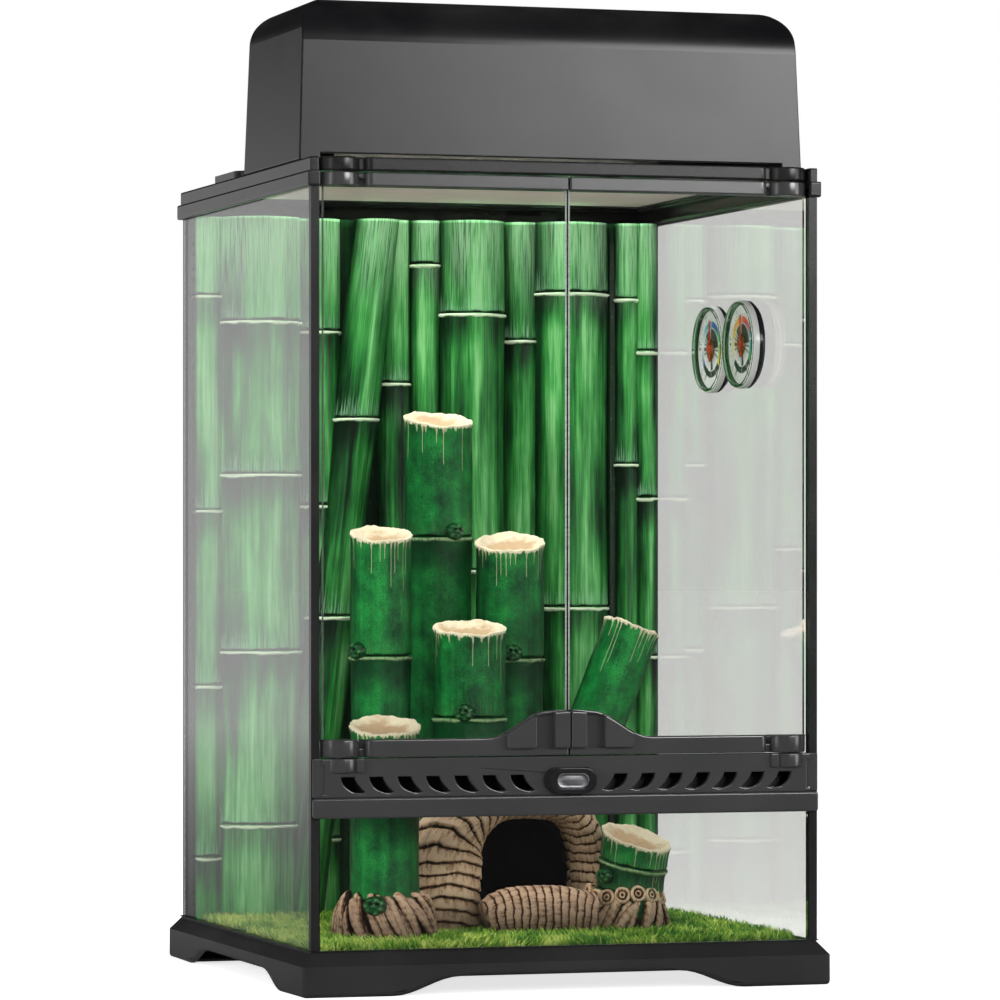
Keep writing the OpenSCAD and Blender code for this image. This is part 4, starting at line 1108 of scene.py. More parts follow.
def ribbed_tube(shape, knots, wide, deep, pitch, height, seed, rows, columns):
    """Tube along a path whose surface climbs and drops once every pitch.

    wide and deep are the half sizes at each knot, and the rib's phase wanders with the angle, so that the
    grooves bend, meet and part like those of a root.
    """
    path = smooth_path(knots, rows)
    sizes = smooth_path(np.stack([wide, deep, np.zeros(len(wide))], axis=1), rows)
    along = length_along(path)
    depth, across = frames_along(path)
    turn = circle(columns)
    phase = along[:, None] / pitch + 0.22 * np.sin(2 * turn + seed)[None, :]
    phase = phase + 0.26 * ripple(turn[None, :] * 1.5 + along[:, None] * 0.05, seed)
    crest = scale_wave(phase)
    rise = height * (crest - 0.75) + 0.5 * ripple(turn[None, :] * 3 + along[:, None] * 0.11, seed + 4)
    a = np.cos(turn)[None, :] * (sizes[:, :1] + rise)
    b = np.sin(turn)[None, :] * (sizes[:, 1:2] + rise)
    points = path[:, None, :] + a[..., None] * across[:, None, :] + b[..., None] * depth[:, None, :]
    points = capped(points, path[0], path[-1])
    # Deep between two ribs: the paint lays painted shade there.
    fold = held(np.clip(1.0 - crest * 1.15, 0, 1))
    size = sizes.mean()
    grain = np.stack(np.broadcast_arrays(size * np.cos(turn), size * np.sin(turn), held(along)[:, None]), axis=-1)
    shape.add(points, wrap=True, fold=fold, grain=(grain + seed * 37) * MM)


# %% [markdown]
# ### The hide
#
# One fat root rises at the left, bends over the cave and comes down at the right. Behind it a rough wall
# closes the cave and is painted nearly black as painted shade, so that it is dark inside. A second, shorter root
# lies in front of the opening.

# %% Root hide
ARCH_PATH = [(-36, -27, 22.6), (-35, -27, 52), (-31, -25, 76), (-8, -18, 92.5), (20, -11, 95), (45, -4, 90),
             (58, 0, 66), (60, 0, 22.6)]
ARCH_WIDE = [21.5, 20.5, 19.5, 10, 8.5, 9.5, 10.5, 12.5]
ARCH_DEEP = [22.0, 21, 20.5, 19, 18.5, 18.5, 18.5, 18.5]
shape = Surface()
ribbed_tube(shape, ARCH_PATH, ARCH_WIDE, ARCH_DEEP, 6.6, 2.6, 1.0, rows=420, columns=110)
shape.piece("root_hide_arch", ROOT, slot="root_brown", replaces=["root_hide"])


def hide_wall(shape):
    """Slab that closes the cave behind: its back follows the arch, and a ripple makes both faces uneven."""
    x = np.linspace(-40, 58, 50)
    z = np.linspace(DECOR_FLOOR + 0.2, 96, 40)
    back_y = np.interp(x, [-40, -8, 54, 58], [-14, 5.5, 17.5, 17.0])
    bulge = 1.2 * ripple(x[None, :] * 0.2 + z[:, None] * 0.3, 3.0)
    rear, face = (np.stack(np.broadcast_arrays(x, back_y + offset - bulge * share, z[:, None]), axis=-1)
                  for offset, share in ((0.0, 0.3), (-5.0, 0.5)))
    loop = np.concatenate([face, rear[:, ::-1]], axis=1)
    middle = loop.mean(axis=1)
    loop = capped(loop, middle[0], middle[-1])
    shape.add(loop, wrap=True, fold=np.full(loop.shape[:2], 0.9), grain=loop * MM)


shape = Surface()
hide_wall(shape)
shape.piece("root_hide_wall", CAVE_SHADE, slot="root_brown")

LOG_PATH = [(-21.5, -60, 34), (-14, -60, 35.5), (0, -60, 37), (22, -60, 37), (41.5, -59, 35)]
LOG_WIDE = [9, 12.5, 14.2, 14.2, 12]
shape = Surface()
ribbed_tube(shape, LOG_PATH, LOG_WIDE, LOG_WIDE, 4.6, 1.2, 5.0, rows=240, columns=84)
shape.piece("rhizome_log_ribs", ROOT_RED, slot="root_brown", replaces=["rhizome_log"])
print("ribs of the hide and of the log done")

# %% [markdown]
# ### Root collars
#
# Where a cane meets the ground, roots crowd out of it. Round the left stump they are thick and slanting.
# Round the right one, a row of cut root ends with a ring in each sits on top of them. A ribbed ring is the
# core of a collar, so that no light falls through it, and is painted dark as painted shade behind the roots;
# each cut end is a turned profile.


# %% Parts of a root collar
def root_ring(shape, centre, outline, ribs, height, slant, seed):
    """Ring of upright roots: a profile of (radius, height) turned about Z, ribbed by the angle.

    The rib's phase also moves with the height, which slants the roots.
    """
    outline = np.asarray(outline, float)
    t = np.linspace(0, len(outline) - 1, 46)
    r = np.interp(t, np.arange(len(outline)), outline[:, 0])
    z = np.interp(t, np.arange(len(outline)), outline[:, 1])
    turn = circle(ribs * 10)
    phase = ribs * turn[None, :] / (2 * np.pi) + slant * (z[:, None] - z.min()) / 10
    phase = phase + 0.18 * ripple(turn[None, :] * 3 + z[:, None] * 0.05, seed)
    crest = (0.5 - 0.5 * np.cos(2 * np.pi * phase)) ** 0.5
    live = np.sin(np.pi * np.clip(t / (len(outline) - 1), 0.04, 0.96))[:, None] ** 0.5
    rr = r[:, None] + height * (crest - 0.7) * live + 0.5 * ripple(turn[None, :] * 4 + z[:, None] * 0.2, seed + 1)
    points = np.stack([centre[0] + rr * np.cos(turn), centre[1] + rr * np.sin(turn),
                       z[:, None] + 0.8 * (crest - 0.7) * live], axis=-1)
    # One deep fold value for the whole ring: painted shade behind the roots.
    shape.add(points, wrap=True, fold=np.full(points.shape[:2], 0.75), grain=points * MM)


def root_end(shape, centre, heading, rise, radius, length, seed):
    """Cut root end: a profile of (radius, height) turned into a short barrel with a ring and a dot on its face."""
    profile = np.array([(0.0, -length), (0.75, -length), (0.95, -length * 0.6), (1.0, -0.25 * length),
                        (0.95, -0.02), (0.80, 0.10), (0.62, 0.02), (0.56, -0.18), (0.44, -0.18),
                        (0.38, 0.0), (0.20, 0.02), (0.16, -0.2), (0.0, -0.22)])
    # How deep each step of the profile lies, which the paint turns into painted shade.
    depth = np.array([0.9, 0.9, 0.6, 0.3, 0.1, 0.0, 0.4, 0.95, 0.95, 0.2, 0.2, 0.95, 1.0])
    turn = circle(20)
    r = profile[:, 0] * radius
    h = profile[:, 1] * np.where(profile[:, 1] > -1, radius, 1.0)
    wobble = 1 + 0.06 * ripple(turn * 2, seed)
    flat = np.stack([np.outer(r, np.cos(turn) * wobble), np.outer(r, np.sin(turn) * wobble),
                     np.outer(h, np.ones_like(turn))], axis=-1)
    a, b = math.radians(heading), math.radians(rise)
    out = np.array([math.cos(a) * math.cos(b), math.sin(a) * math.cos(b), math.sin(b)])
    side = np.array([-math.sin(a), math.cos(a), 0.0])
    top = np.cross(out, side)
    points = (np.asarray(centre, float) + flat[..., :1] * side + flat[..., 1:2] * top + flat[..., 2:] * out)
    shape.add(points, wrap=True, fold=np.broadcast_to(depth[:, None], points.shape[:2]), grain=points * MM)


# %% [markdown]
# ### Single roots
#
# A ribbed ring alone has no gaps for shadows, so each root in front of it is a tube of its own. Its path
# leaves the stump, bends outwards and dives into the ground, and the crowd varies height, reach and bend.

# %% Roots of a collar
STRAND_ROWS = 34
STRAND_COLUMNS = 18


def root_strand(shape, centre, turn, heights, reach, sway, thick, seed):
    """One root that leaves the stump, bends outwards and dives into the ground.

    Its section is spanned by the outward and the sidewise direction; the outer face is dry-brushed, the
    flanks get painted shade, and shallow creases run across it.
    """
    high, low = heights
    share = np.array([0.0, 0.22, 0.52, 0.80, 1.0])
    spread = np.array([0.0, 0.34, 0.72, 0.96, 1.0])
    drop = np.array([0.0, 0.08, 0.42, 0.80, 1.0])
    angle = np.radians(turn + sway * share)
    radius = reach[0] + (reach[1] - reach[0]) * spread
    path = smooth_path(np.stack([centre[0] + radius * np.cos(angle), centre[1] + radius * np.sin(angle),
                                 high + (low - high) * drop], axis=1), STRAND_ROWS)
    size = thick * np.interp(np.linspace(0, 1, STRAND_ROWS), [0, 0.2, 0.5, 0.85, 1], [0.55, 0.95, 1.12, 0.9, 0.5])
    forward = unit(np.gradient(path, axis=0))
    side = unit(np.cross(forward, path * [1, 1, 0] - [centre[0], centre[1], 0]))
    out = np.cross(side, forward)
    along = length_along(path)
    around = circle(STRAND_COLUMNS)
    crease = np.sin(along[:, None] / 0.62 + 1.6 * np.cos(around) + seed)
    r = size[:, None] * (1 + 0.07 * ripple(along[:, None] * 0.35 + around[None, :] * 2, seed)) + 0.10 * crease
    points = (path[:, None] + (r * np.cos(around))[..., None] * side[:, None]
              + (0.9 * r * np.sin(around))[..., None] * out[:, None])
    # Painted shade on the flanks and in the creases; the outer face keeps the pale crest colour.
    fold = held(0.92 - 0.90 * np.clip(np.sin(around), 0, 1)[None, :] ** 0.7 - 0.12 * crease)
    grain = np.stack(np.broadcast_arrays(3 * np.cos(around), 3 * np.sin(around), held(along)[:, None]), axis=-1)
    shape.add(capped(points, path[0], path[-1]), wrap=True, fold=fold, grain=(grain + seed * 11) * MM)


def root_crowd(shape, centre, count, heights, reach, sway, thick, seed):
    """A ring of roots with uneven spacing, height, reach and bend."""
    for k in range(count):
        turn = 360 / count * k + 5 * math.sin(k * 2.3 + seed)
        lift = 2.2 * math.sin(k * 1.9 + seed)
        root_strand(shape, centre, turn, (heights[0] + lift, heights[1]),
                    (reach[0], reach[1] + 1.3 * math.sin(k * 2.7 + seed)),
                    sway + 9 * math.sin(k * 1.3 + 2 * seed), thick * (1 + 0.16 * math.sin(k * 3.1)), seed + k * 0.7)


# %% [markdown]
# ### The two front stumps
#
# They are built as the others are, one upright and one tipped a little, and each gets its core, its crowd of
# roots and its buds. Numbers for the two crowds come from the photograph: how high, how far out, how slanted.

# %% Front stumps with their collars
LEFT_FOOT = (-80.3, -64)
RIGHT_FOOT = (66, -44)
ROOTS_ROUND = 36
ROOT_GROUND = 24.0
ROOT_ENDS = 15
END_RING = 22.0
shape = Surface()
stump_surface(shape, (*LEFT_FOOT, 0), DECOR_FLOOR + 0.3, 141.6, 19.2, (97,), 7.0, tilt=(0.9, 4.6))
shape.piece("front_left_cane", STUMP, slot="cane_stump", replaces=["front_left_stump"])
shape = Surface()
root_ring(shape, LEFT_FOOT, [(18.4, 46), (19.5, 47), (21.0, 44), (22.6, 39), (23.4, 33), (23.2, 27),
                             (22.0, 22.6), (16, 22.6)], 26, 0.6, 0.22, 2.0)
root_crowd(shape, LEFT_FOOT, ROOTS_ROUND, (47.5, ROOT_GROUND), (18.3, 27.6), 34, 2.7, 1.0)
shape.piece("front_left_roots", ROOT_RED, slot="root_brown")
shape = Surface()
bud(shape, (-92.5, -87.2, 44), -26, 6.4, 4.0)
bud(shape, (-84, -83.5, 101), -8, 5.0, 5.0)
shape.piece("front_left_buds", BUD, slot="cane_stump")

shape = Surface()
stump_surface(shape, (*RIGHT_FOOT, DECOR_FLOOR + 4), 0.6, 50.6, 19.2, (20, 36), 8.0, lean=(4, 7), tilt=(-1.5, 4.8))
shape.piece("front_right_cane", STUMP, slot="cane_stump", replaces=["front_right_stump"])
shape = Surface()
root_ring(shape, RIGHT_FOOT, [(17, 38), (18.0, 39), (19.2, 36), (19.8, 31), (19.4, 26), (18.4, 22.6),
                              (14, 22.6)], 22, 0.6, -0.16, 6.0)
root_crowd(shape, RIGHT_FOOT, ROOTS_ROUND, (41.0, ROOT_GROUND), (18.0, 23.8), -26, 2.35, 4.0)
for k in range(ROOT_ENDS):
    turn = 360 / ROOT_ENDS * k + 8
    a = math.radians(turn)
    height = 45.2 + 1.2 * math.sin(3 * a)
    root_end(shape, (RIGHT_FOOT[0] + END_RING * math.cos(a), RIGHT_FOOT[1] + END_RING * math.sin(a), height),
             turn, 16, 4.75, 5.5, k)
shape.piece("front_right_roots", ROOT, slot="root_brown")
shape = Surface()
bud(shape, (49.5, -57.5, 56), -42, 4.8, 6.0)
shape.piece("front_right_bud", BUD, slot="cane_stump")
print("front stumps with", 2 * ROOTS_ROUND, "roots and", ROOT_ENDS, "root ends")

# %% [markdown]
# ## Grass mat
#
# The mat is artificial turf: a thin backing with crowded short blades of several greens, some nearly yellow.
# Each blade carries its own tone and how far up it a point lies, and the paint turns both into a green.


# %% Turf paint
def grass_paint():
    """Green by each blade's own tone, slow patches and a drift from left to right; painted shade down at the root."""
    made, tree, shader = finish("turf", roughness=0.5)
    tone = attribute(tree, "tone", "Fac")
    along = attribute(tree, "along", "Fac")
    patch = noise(tree, object_place(tree), 52.0, 4.0, 0.65)
    across = axis_of(tree, object_place(tree), 0)
    value = total(tree, times(tree, tone, 0.55), remap(tree, patch, 0.3, 0.7, 0.0, 0.52),
                  remap(tree, across, -0.10, 0.14, 0.10, -0.06))
    colour = shades(tree, value, ((0.16, (0.010, 0.075, 0.012)), (0.40, (0.060, 0.230, 0.022)),
                                  (0.60, (0.250, 0.460, 0.045)), (0.86, (0.62, 0.74, 0.17))))
    # Painted shade low on each blade, where the blades crowd.
    colour = coats(tree, colour, (remap(tree, along, 0.0, 0.70, 0.78, 0.0), (0.010, 0.040, 0.004)))
    wire(tree, colour, shader.inputs["Base Color"])
    return made


TURF = grass_paint()
print("turf paint:", TURF.name)

# %% [markdown]
# ### Blades of grass
#
# A blade is a strip of three cells, wide at the root and pointed at the tip, bent over by a random lean. All
# blades are worked out together: one array holds the roots, and the same strip is carried to each of them.
# Instances of one blade would be lighter, but each would then have the same bend and the same tone.

# %% Roots, leans and sizes of the blades
MAT_HALF = 138.0
MAT_TOP = 22.4
MAT_UNDER = 20.1
BLADES = 26000
# Where the decor stands: x, y and the radius that is kept clear of grass
BARE = [(-80.3, -64, 22), (66, -44, 19), (-36, -27, 20), (55, 0, 17), (-11.5, 62, 18), (-60.6, 12, 16),
        (23.6, 36, 18)]


def grass_back(x):
    """How far back the turf reaches: to the foot of the relief."""
    return np.where(x < -127, 112.0, np.where(x > 106, 104.0, 117.0))


def grass_blades(count, seed):
    """Blade roots, leans and sizes; the turf stands off the feet of the decor."""
    rng = np.random.default_rng(seed)
    root = rng.uniform(-MAT_HALF + 1.2, MAT_HALF - 1.2, (count, 2))
    root = root[root[:, 1] < grass_back(root[:, 0])]
    for x, y, r in BARE:
        root = root[np.hypot(root[:, 0] - x, root[:, 1] - y) > r]
    n = len(root)
    clump = ripple(root[:, 0] * 0.42 + 3 * np.sin(root[:, 1] * 0.21), 1.0) * ripple(root[:, 1] * 0.47, 4.0)
    heading = rng.uniform(0, 2 * np.pi, n) * 0.45 + 5 * clump + 0.05 * root[:, 0]
    lean = rng.uniform(1.6, 6.4, n)
    height = rng.uniform(4.0, 8.6, n) * (1.0 + 0.45 * clump)
    width = rng.uniform(0.35, 0.70, n)
    facing = rng.uniform(0, 2 * np.pi, n)
    tone = np.clip(rng.normal(0.5, 0.22, n) + 0.10 * ripple(root[:, 0] * 0.09 + root[:, 1] * 0.05, 2.0), 0, 1)
    t = np.array([0.0, 0.45, 0.8, 1.0])
    bend = t ** 1.8
    spine = np.zeros((n, 4, 3))
    spine[..., 0] = root[:, :1] + np.cos(heading)[:, None] * lean[:, None] * bend
    spine[..., 1] = root[:, 1:] + np.sin(heading)[:, None] * lean[:, None] * bend
    spine[..., 2] = MAT_TOP - 0.4 + height[:, None] * t * (1 - 0.12 * bend)
    half = width[:, None] * np.array([1.0, 0.8, 0.45, 0.02])
    side = np.stack([np.cos(facing), np.sin(facing), np.zeros(n)], axis=-1)[:, None, :] * half[..., None]
    points = np.stack([spine - side, spine + side], axis=2)
    points[..., :2] = np.clip(points[..., :2], -INNER_WALL, INNER_WALL)
    return points, tone, np.broadcast_to(t[None, :, None], (n, 4, 2))


# %% [markdown]
# ### Laying the mat
#
# The blades become two meshes and stand on a thin backing. The random numbers are drawn from fixed seeds, so
# the same mat grows every time.


# %% Lay the mat
def turf_piece(name, count, seed, replaces=()):
    """One mesh from many strips: each blade's eight points make three quads."""
    points, tone, along = grass_blades(count, seed)
    n = len(points)
    start = np.arange(n)[:, None] * 8
    cells = np.array([[0, 1, 3, 2], [2, 3, 5, 4], [4, 5, 7, 6]])
    quads = (start[:, None, :] + cells[None]).reshape(-1, 4)
    shape = Surface()
    shape.points.append(points.reshape(-1, 3))
    shape.quads.append(quads)
    shape.values["tone"] = [np.repeat(tone, 8)[:, None]]
    shape.values["along"] = [along.reshape(-1, 1)]
    shape.count = n * 8
    shape.piece(name, TURF, slot="grass", replaces=replaces, merge=0, smooth=False)
    print(name, n, "blades")


def mat_backing(shape):
    """Thin woven backing: one closed loop from the underside over the edges to the top."""
    low, high = -MAT_HALF, MAT_HALF
    square = np.array([(low, low), (high, low), (high, high), (low, high)])
    rows = [np.zeros((4, 2)), square, square, np.zeros((4, 2))]
    levels = [MAT_UNDER, MAT_UNDER, MAT_TOP, MAT_TOP]
    points = np.stack([np.concatenate([row, np.full((4, 1), z)], axis=1) for row, z in zip(rows, levels)])
    shape.add(points, wrap=True, tone=np.full((4, 4), 0.1), along=np.zeros((4, 4)))


shape = Surface()
mat_backing(shape)
shape.piece("turf_backing", TURF, slot="grass", smooth=False)
turf_piece("turf_back", BLADES, 11, replaces=["grass_mat"])
turf_piece("turf_front", BLADES, 12)

# %% [markdown]
# ## Screen
#
# The screen's mesh is woven from thin coated wire. Two layers of straight thin wires, one across the other,
# are enough at this size: from a step away the eye only sees a grey-beige veil, and the wires cover more of
# what is behind them the flatter they are looked at.


# %% Woven screen
def wires(shape, low, high, other_low, other_high, pitch, level, along_x, thick=0.34):
    """Parallel wires of diamond section from one side of the frame to the other."""
    places = np.arange(low + pitch / 2, high, pitch)
    corners = np.array([(thick / 2, 0), (0, thick / 2), (-thick / 2, 0), (0, -thick / 2)])
    for place in places:
        ends = []
        for end in (other_low, other_high):
            first = np.full(4, end)
            second = place + corners[:, 0]
            order = (first, second) if along_x else (second, first)
            ends.append(np.stack([*order, level + corners[:, 1]], axis=-1))
        shape.add(np.stack(ends), wrap=True, flip=along_x)


SCREEN_X = (-130.5, 130.5)
SCREEN_Y = (-122.8, 119.8)
PITCH = 1.7
LOWER_WIRES, UPPER_WIRES = 443.85, 444.15
shape = Surface()
wires(shape, *SCREEN_Y, *SCREEN_X, PITCH, LOWER_WIRES, True)
wires(shape, *SCREEN_X, *SCREEN_Y, PITCH, UPPER_WIRES, False)
screen = shape.piece("screen_weave", WIRE, body="screen", slot="steel", replaces=["screen_mesh"], merge=0,
                     smooth=False)
print("screen wires:", len(screen.data.polygons) // 4)

# %% [markdown]
# ## Gauges
#
# Two round gauges are stuck to the right-hand wall. Each has a printed face with a coloured arc, a scale with
# plain numbers, a bimetal coil at its middle and a pointer. The face is a stack of flat rings, and each
# ring carries its ink as a colour on its points. A picture for each face would be the other way; rings stay
# sharp at any size.

# %% Ink and flat rings
FACE_RISE = 5.44


def ink_paint():
    """Printing ink on paper: the colour that each point carries, with the paper's grain faintly in it."""
    made, tree, shader = finish("printed_ink", roughness=0.38)
    paper = noise(tree, object_place(tree), 1200.0, 2.0)
    ink = attribute(tree, "ink", "Color")
    tinted = coats(tree, ink, (remap(tree, paper, 0.3, 0.7, 0.0, 0.08), (0.5, 0.5, 0.5)))
    wire(tree, tinted, shader.inputs["Base Color"])
    return made


INK = ink_paint()


def on_wall(place, flat):
    """Carry points (right, up, out) of a gauge to the right-hand wall, where out points to the left."""
    return np.stack([INNER_WALL - flat[..., 2], place[0] - flat[..., 0], place[1] + flat[..., 1]], axis=-1)


def ring(shape, place, r0, r1, rise, start, end, colours, cells=60):
    """Flat ring from angle start to end, clockwise from straight up, tinted along its length."""
    turn = np.radians(np.linspace(start, end, cells + 1))
    r = np.array([r0, r1])[:, None]
    flat = np.stack([r * np.sin(turn), r * np.cos(turn), np.full((2, cells + 1), rise)], axis=-1)
    places = np.linspace(0, 1, len(colours))
    mix = np.linspace(0, 1, cells + 1)
    ink = np.stack([np.interp(mix, places, [c[k] for c in colours]) for k in range(3)]
                   + [np.ones(cells + 1)], axis=-1)
    shape.add(on_wall(place, flat), ink=np.broadcast_to(ink, (2, cells + 1, 4)))


# %% [markdown]
# ### Numbers of a scale
#
# Blender's own letter shapes give the numbers. Each becomes a flat mesh that is moved to its place on the
# scale, and all numbers of a scale are joined into one piece.


# %% Numbers of a scale
def number_marks(place, values, radius, size, sweep, rise):
    """Numbers round a scale, all standing upright, as a list of points and faces for each."""
    made = []
    for k, value in enumerate(values):
        text = bpy.data.curves.new("number", "FONT")
        text.body = str(value)
        text.size = size
        text.align_x = text.align_y = "CENTER"
        holder = bpy.data.objects.new("number", text)
        bpy.context.scene.collection.objects.link(holder)
        bpy.context.view_layer.update()
        mesh = bpy.data.meshes.new_from_object(holder.evaluated_get(bpy.context.evaluated_depsgraph_get()))
        bpy.data.objects.remove(holder)
        flat = np.empty(len(mesh.vertices) * 3)
        mesh.vertices.foreach_get("co", flat)
        flat = flat.reshape(-1, 3)
        a = math.radians(-sweep + 2 * sweep * k / (len(values) - 1))
        flat[:, 0] += radius * math.sin(a)
        flat[:, 1] += radius * math.cos(a)
        flat[:, 2] += rise
        faces = [tuple(p.vertices) for p in mesh.polygons]
        made.append((on_wall(place, flat), faces))
    return made


def printed_numbers(name, marks):
    """Join the meshes of a scale's numbers into one piece of dark ink."""
    points = np.concatenate([m[0] for m in marks]) * MM
    faces, count = [], 0
    for corner, polygons in marks:
        faces += [tuple(i + count for i in polygon) for polygon in polygons]
        count += len(corner)
    mesh = bpy.data.meshes.new(name)
    mesh.from_pydata(points.tolist(), [], faces)
    layer = mesh.attributes.new("ink", "FLOAT_COLOR", "POINT")
    layer.data.foreach_set("color", np.tile([0.02, 0.02, 0.03, 1.0], len(points)).astype(np.float32))
    mesh.materials.append(INK)
    return place_piece(name, mesh, "root")


# %% [markdown]
# ### Printing both faces
#
# Five rings make a face: dark middle, pale ring, coloured arc with the dark part that closes it, and pale
# border. Short strips a hair in front of them are the marks of the scale, longer at every fifth.

# %% Print both faces
BLUE, TEAL, GREEN, YELLOW = (0.02, 0.05, 0.35), (0.01, 0.35, 0.42), (0.10, 0.45, 0.06), (0.85, 0.72, 0.05)
ORANGE, RED, WHITE, DARK = (0.90, 0.30, 0.03), (0.75, 0.02, 0.02), (0.88, 0.88, 0.86), (0.012, 0.012, 0.016)
# Each gauge: where its middle is on the wall, the colours of its arc, and its numbers
GAUGES = {
    "near_gauge": ((-54, 354.5), (WHITE, YELLOW, ORANGE, RED, TEAL, GREEN), (0, 10, 20, 30, 40, 50)),
    "far_gauge": ((-3, 353.7), (BLUE, WHITE, TEAL, BLUE, GREEN, YELLOW), (0, 20, 40, 60, 80, 100)),
}
SWEEP = 130
TICKS = 25
# Bands of the print, by radius: dark middle, pale ring, coloured arc, pale border
MIDDLE_R, RING_R, ARC_R, EDGE_R = 11.5, 12.6, 16.2, 22.3
OVERPRINT = 0.03
for name, (place, arc, values) in GAUGES.items():
    shape = Surface()
    for r0, r1, start, end, colours in (
            (0.0, MIDDLE_R, 0, 360, (DARK, DARK)), (MIDDLE_R, RING_R, 0, 360, (WHITE, WHITE)),
            (RING_R, ARC_R, -SWEEP, SWEEP, arc), (RING_R, ARC_R, SWEEP, 360 - SWEEP, (DARK, DARK)),
            (ARC_R, EDGE_R, 0, 360, (WHITE, WHITE))):
        ring(shape, place, r0, r1, FACE_RISE, start, end, colours)
    for k in range(TICKS + 1):
        angle = -SWEEP + 2 * SWEEP * k / TICKS
        length = 1.2 if k % 5 == 0 else 0.5
        ring(shape, place, 16.5, 17.3 + length, FACE_RISE + OVERPRINT, angle - 0.7, angle + 0.7, (DARK, DARK), 1)
    shape.piece(name + "_print", INK, slot="gauge_paper", replaces=[name + "_face"], smooth=False)
    marks = number_marks(place, values, 20.3, 2.9, SWEEP, FACE_RISE + OVERPRINT + 0.01)
    printed_numbers(name + "_numbers", marks)
print("printed faces:", list(GAUGES))

# %% [markdown]
# ### Coil and bezel
#
# The bimetal coil is a flat copper-coloured ribbon wound in a spiral, and a bright ring holds the lens in its
# case. Both are a small section carried along a curve on the wall.


# %% Coil and bezel of each gauge
def coil(shape, place, r0, r1, turns, rise, height):
    """Upright ribbon along a spiral: the radius grows evenly with the angle."""
    t = np.linspace(0, 1, turns * 36)
    a = 2 * np.pi * turns * t
    r = r0 + (r1 - r0) * t
    section = np.array([(-0.12, 0), (0.12, 0), (0.12, height), (-0.12, height)])
    rr = r[:, None] + section[None, :, 0]
    flat = np.stack([rr * np.sin(a)[:, None], rr * np.cos(a)[:, None],
                     rise + np.broadcast_to(section[None, :, 1], rr.shape)], axis=-1)
    shape.add(on_wall(place, flat), wrap=True)


# Section of the rolled band on a case of 25 mm: radius and distance from the wall
BAND_RADIUS = 25.0
BAND = np.array([(24.85, 3.9), (25.12, 4.0), (25.22, 4.4), (25.22, 6.9), (25.08, 7.42), (24.75, 7.62),
                 (24.45, 7.6), (24.32, 7.44), (24.6, 7.2), (24.85, 6.6)])


def bezel(shape, place, radius):
    """Rolled band that clasps case and lens: its section, given for the case's radius, goes once round."""
    a = circle(96)
    r = BAND[:, :1] + (radius - BAND_RADIUS) + 0 * a
    out = BAND[:, 1:] + 0 * a
    flat = np.stack([r * np.sin(a), r * np.cos(a), out], axis=-1)
    flat = np.concatenate([flat, flat[:1]])
    shape.add(on_wall(place, flat), wrap=True, flip=True)


for name, (place, _, _) in GAUGES.items():
    shape = Surface()
    coil(shape, place, 3.0, 6.4, 5, FACE_RISE + 0.02, 0.55)
    shape.piece(name + "_coil", BRASS, slot="steel", merge=0)
    low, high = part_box(name + "_case")
    radius = (high[2] - low[2]) / 2 / MM
    shape = Surface()
    bezel(shape, place, radius)
    shape.piece(name + "_bezel", SILVER, slot="steel")
    print(name, "case radius", round(radius, 2), "mm")

# %% [markdown]
# ## Ground edges
#
# Where the two doors meet, each pane has a ground edge: a matt, pale line down its front arris. A thin strip
# over the arris shows it, because the pane itself stays clear glass up to its edge.


# %% Ground edges of the doors
def ground_finish():
    """Matt ground glass: pale grey-green with fine cross lines left by the wheel."""
    made, tree, shader = finish("ground_edge", roughness=0.6)
    lines = noise(tree, stretched(tree, object_place(tree), (0.2, 0.2, 1.0)), 900.0, 3.0)
    pale = blend(tree, remap(tree, lines, 0.3, 0.7), (0.24, 0.27, 0.25, 1), (0.40, 0.43, 0.40, 1))
    wire(tree, pale, shader.inputs["Base Color"])
    return made


GROUND = ground_finish()


def arris(shape, side, low, high, front_y):
    """Thin strip with a rounded face along a pane's edge, from the edge 0.9 mm inwards."""
    across = side * np.array([0.42, 0.46, 0.70, 1.00, 1.28, 1.32])
    out = np.array([0.02, -0.06, -0.12, -0.12, -0.06, 0.02])
    z = np.array([low, low, high, high])
    size = np.array([0.0, 1.0, 1.0, 0.0])[:, None]
    points = np.stack([across.mean() + size * (across - across.mean()), front_y + size * out,
                       z[:, None] + 0 * across], axis=-1)
    shape.add(points, wrap=True, flip=side > 0)


for name, side in (("left_door", -1), ("right_door", 1)):
    low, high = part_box(name + "_glass")
    shape = Surface()
    arris(shape, side, low[2] / MM + 1.0, high[2] / MM - 1.0, low[1] / MM)
    shape.piece(name + "_ground_edge", GROUND, body=name, slot="tank_glass")
    print(name, "ground edge:", round((high[2] - low[2]) / MM - 2.0, 1), "mm long")

# %% [markdown]
# ## Plate in the knob
#
# The lock's knob has a shallow oval dish in its face. A bare satin plate lies in it, slightly crowned, with a
# rolled edge. Rings of the same outline, each smaller than the last, climb from its edge to its middle.


# %% Plate in the knob
def oval_plate(shape, centre, half_long, half_high, rise, front_y):
    """Crowned oval: the outline is a stadium, scaled down ring by ring while the height climbs to the middle."""
    turn = circle(72)
    straight = half_long - half_high
    x = half_high * np.cos(turn) + straight * np.sign(np.cos(turn))
    z = half_high * np.sin(turn)
    ring = np.array([0.0, 1.0, 1.0, 0.985, 0.95, 0.90, 0.88, 0.60, 0.30, 0.0])
    lift = np.array([0.0, 0.0, 0.35, 0.50, 0.52, 0.42, 0.36, 0.52, 0.60, 0.62]) * rise / 0.62
    points = np.stack([centre[0] + ring[:, None] * x, front_y - lift[:, None] + 0 * x,
                       centre[1] + ring[:, None] * z], axis=-1)
    shape.add(points, wrap=True)


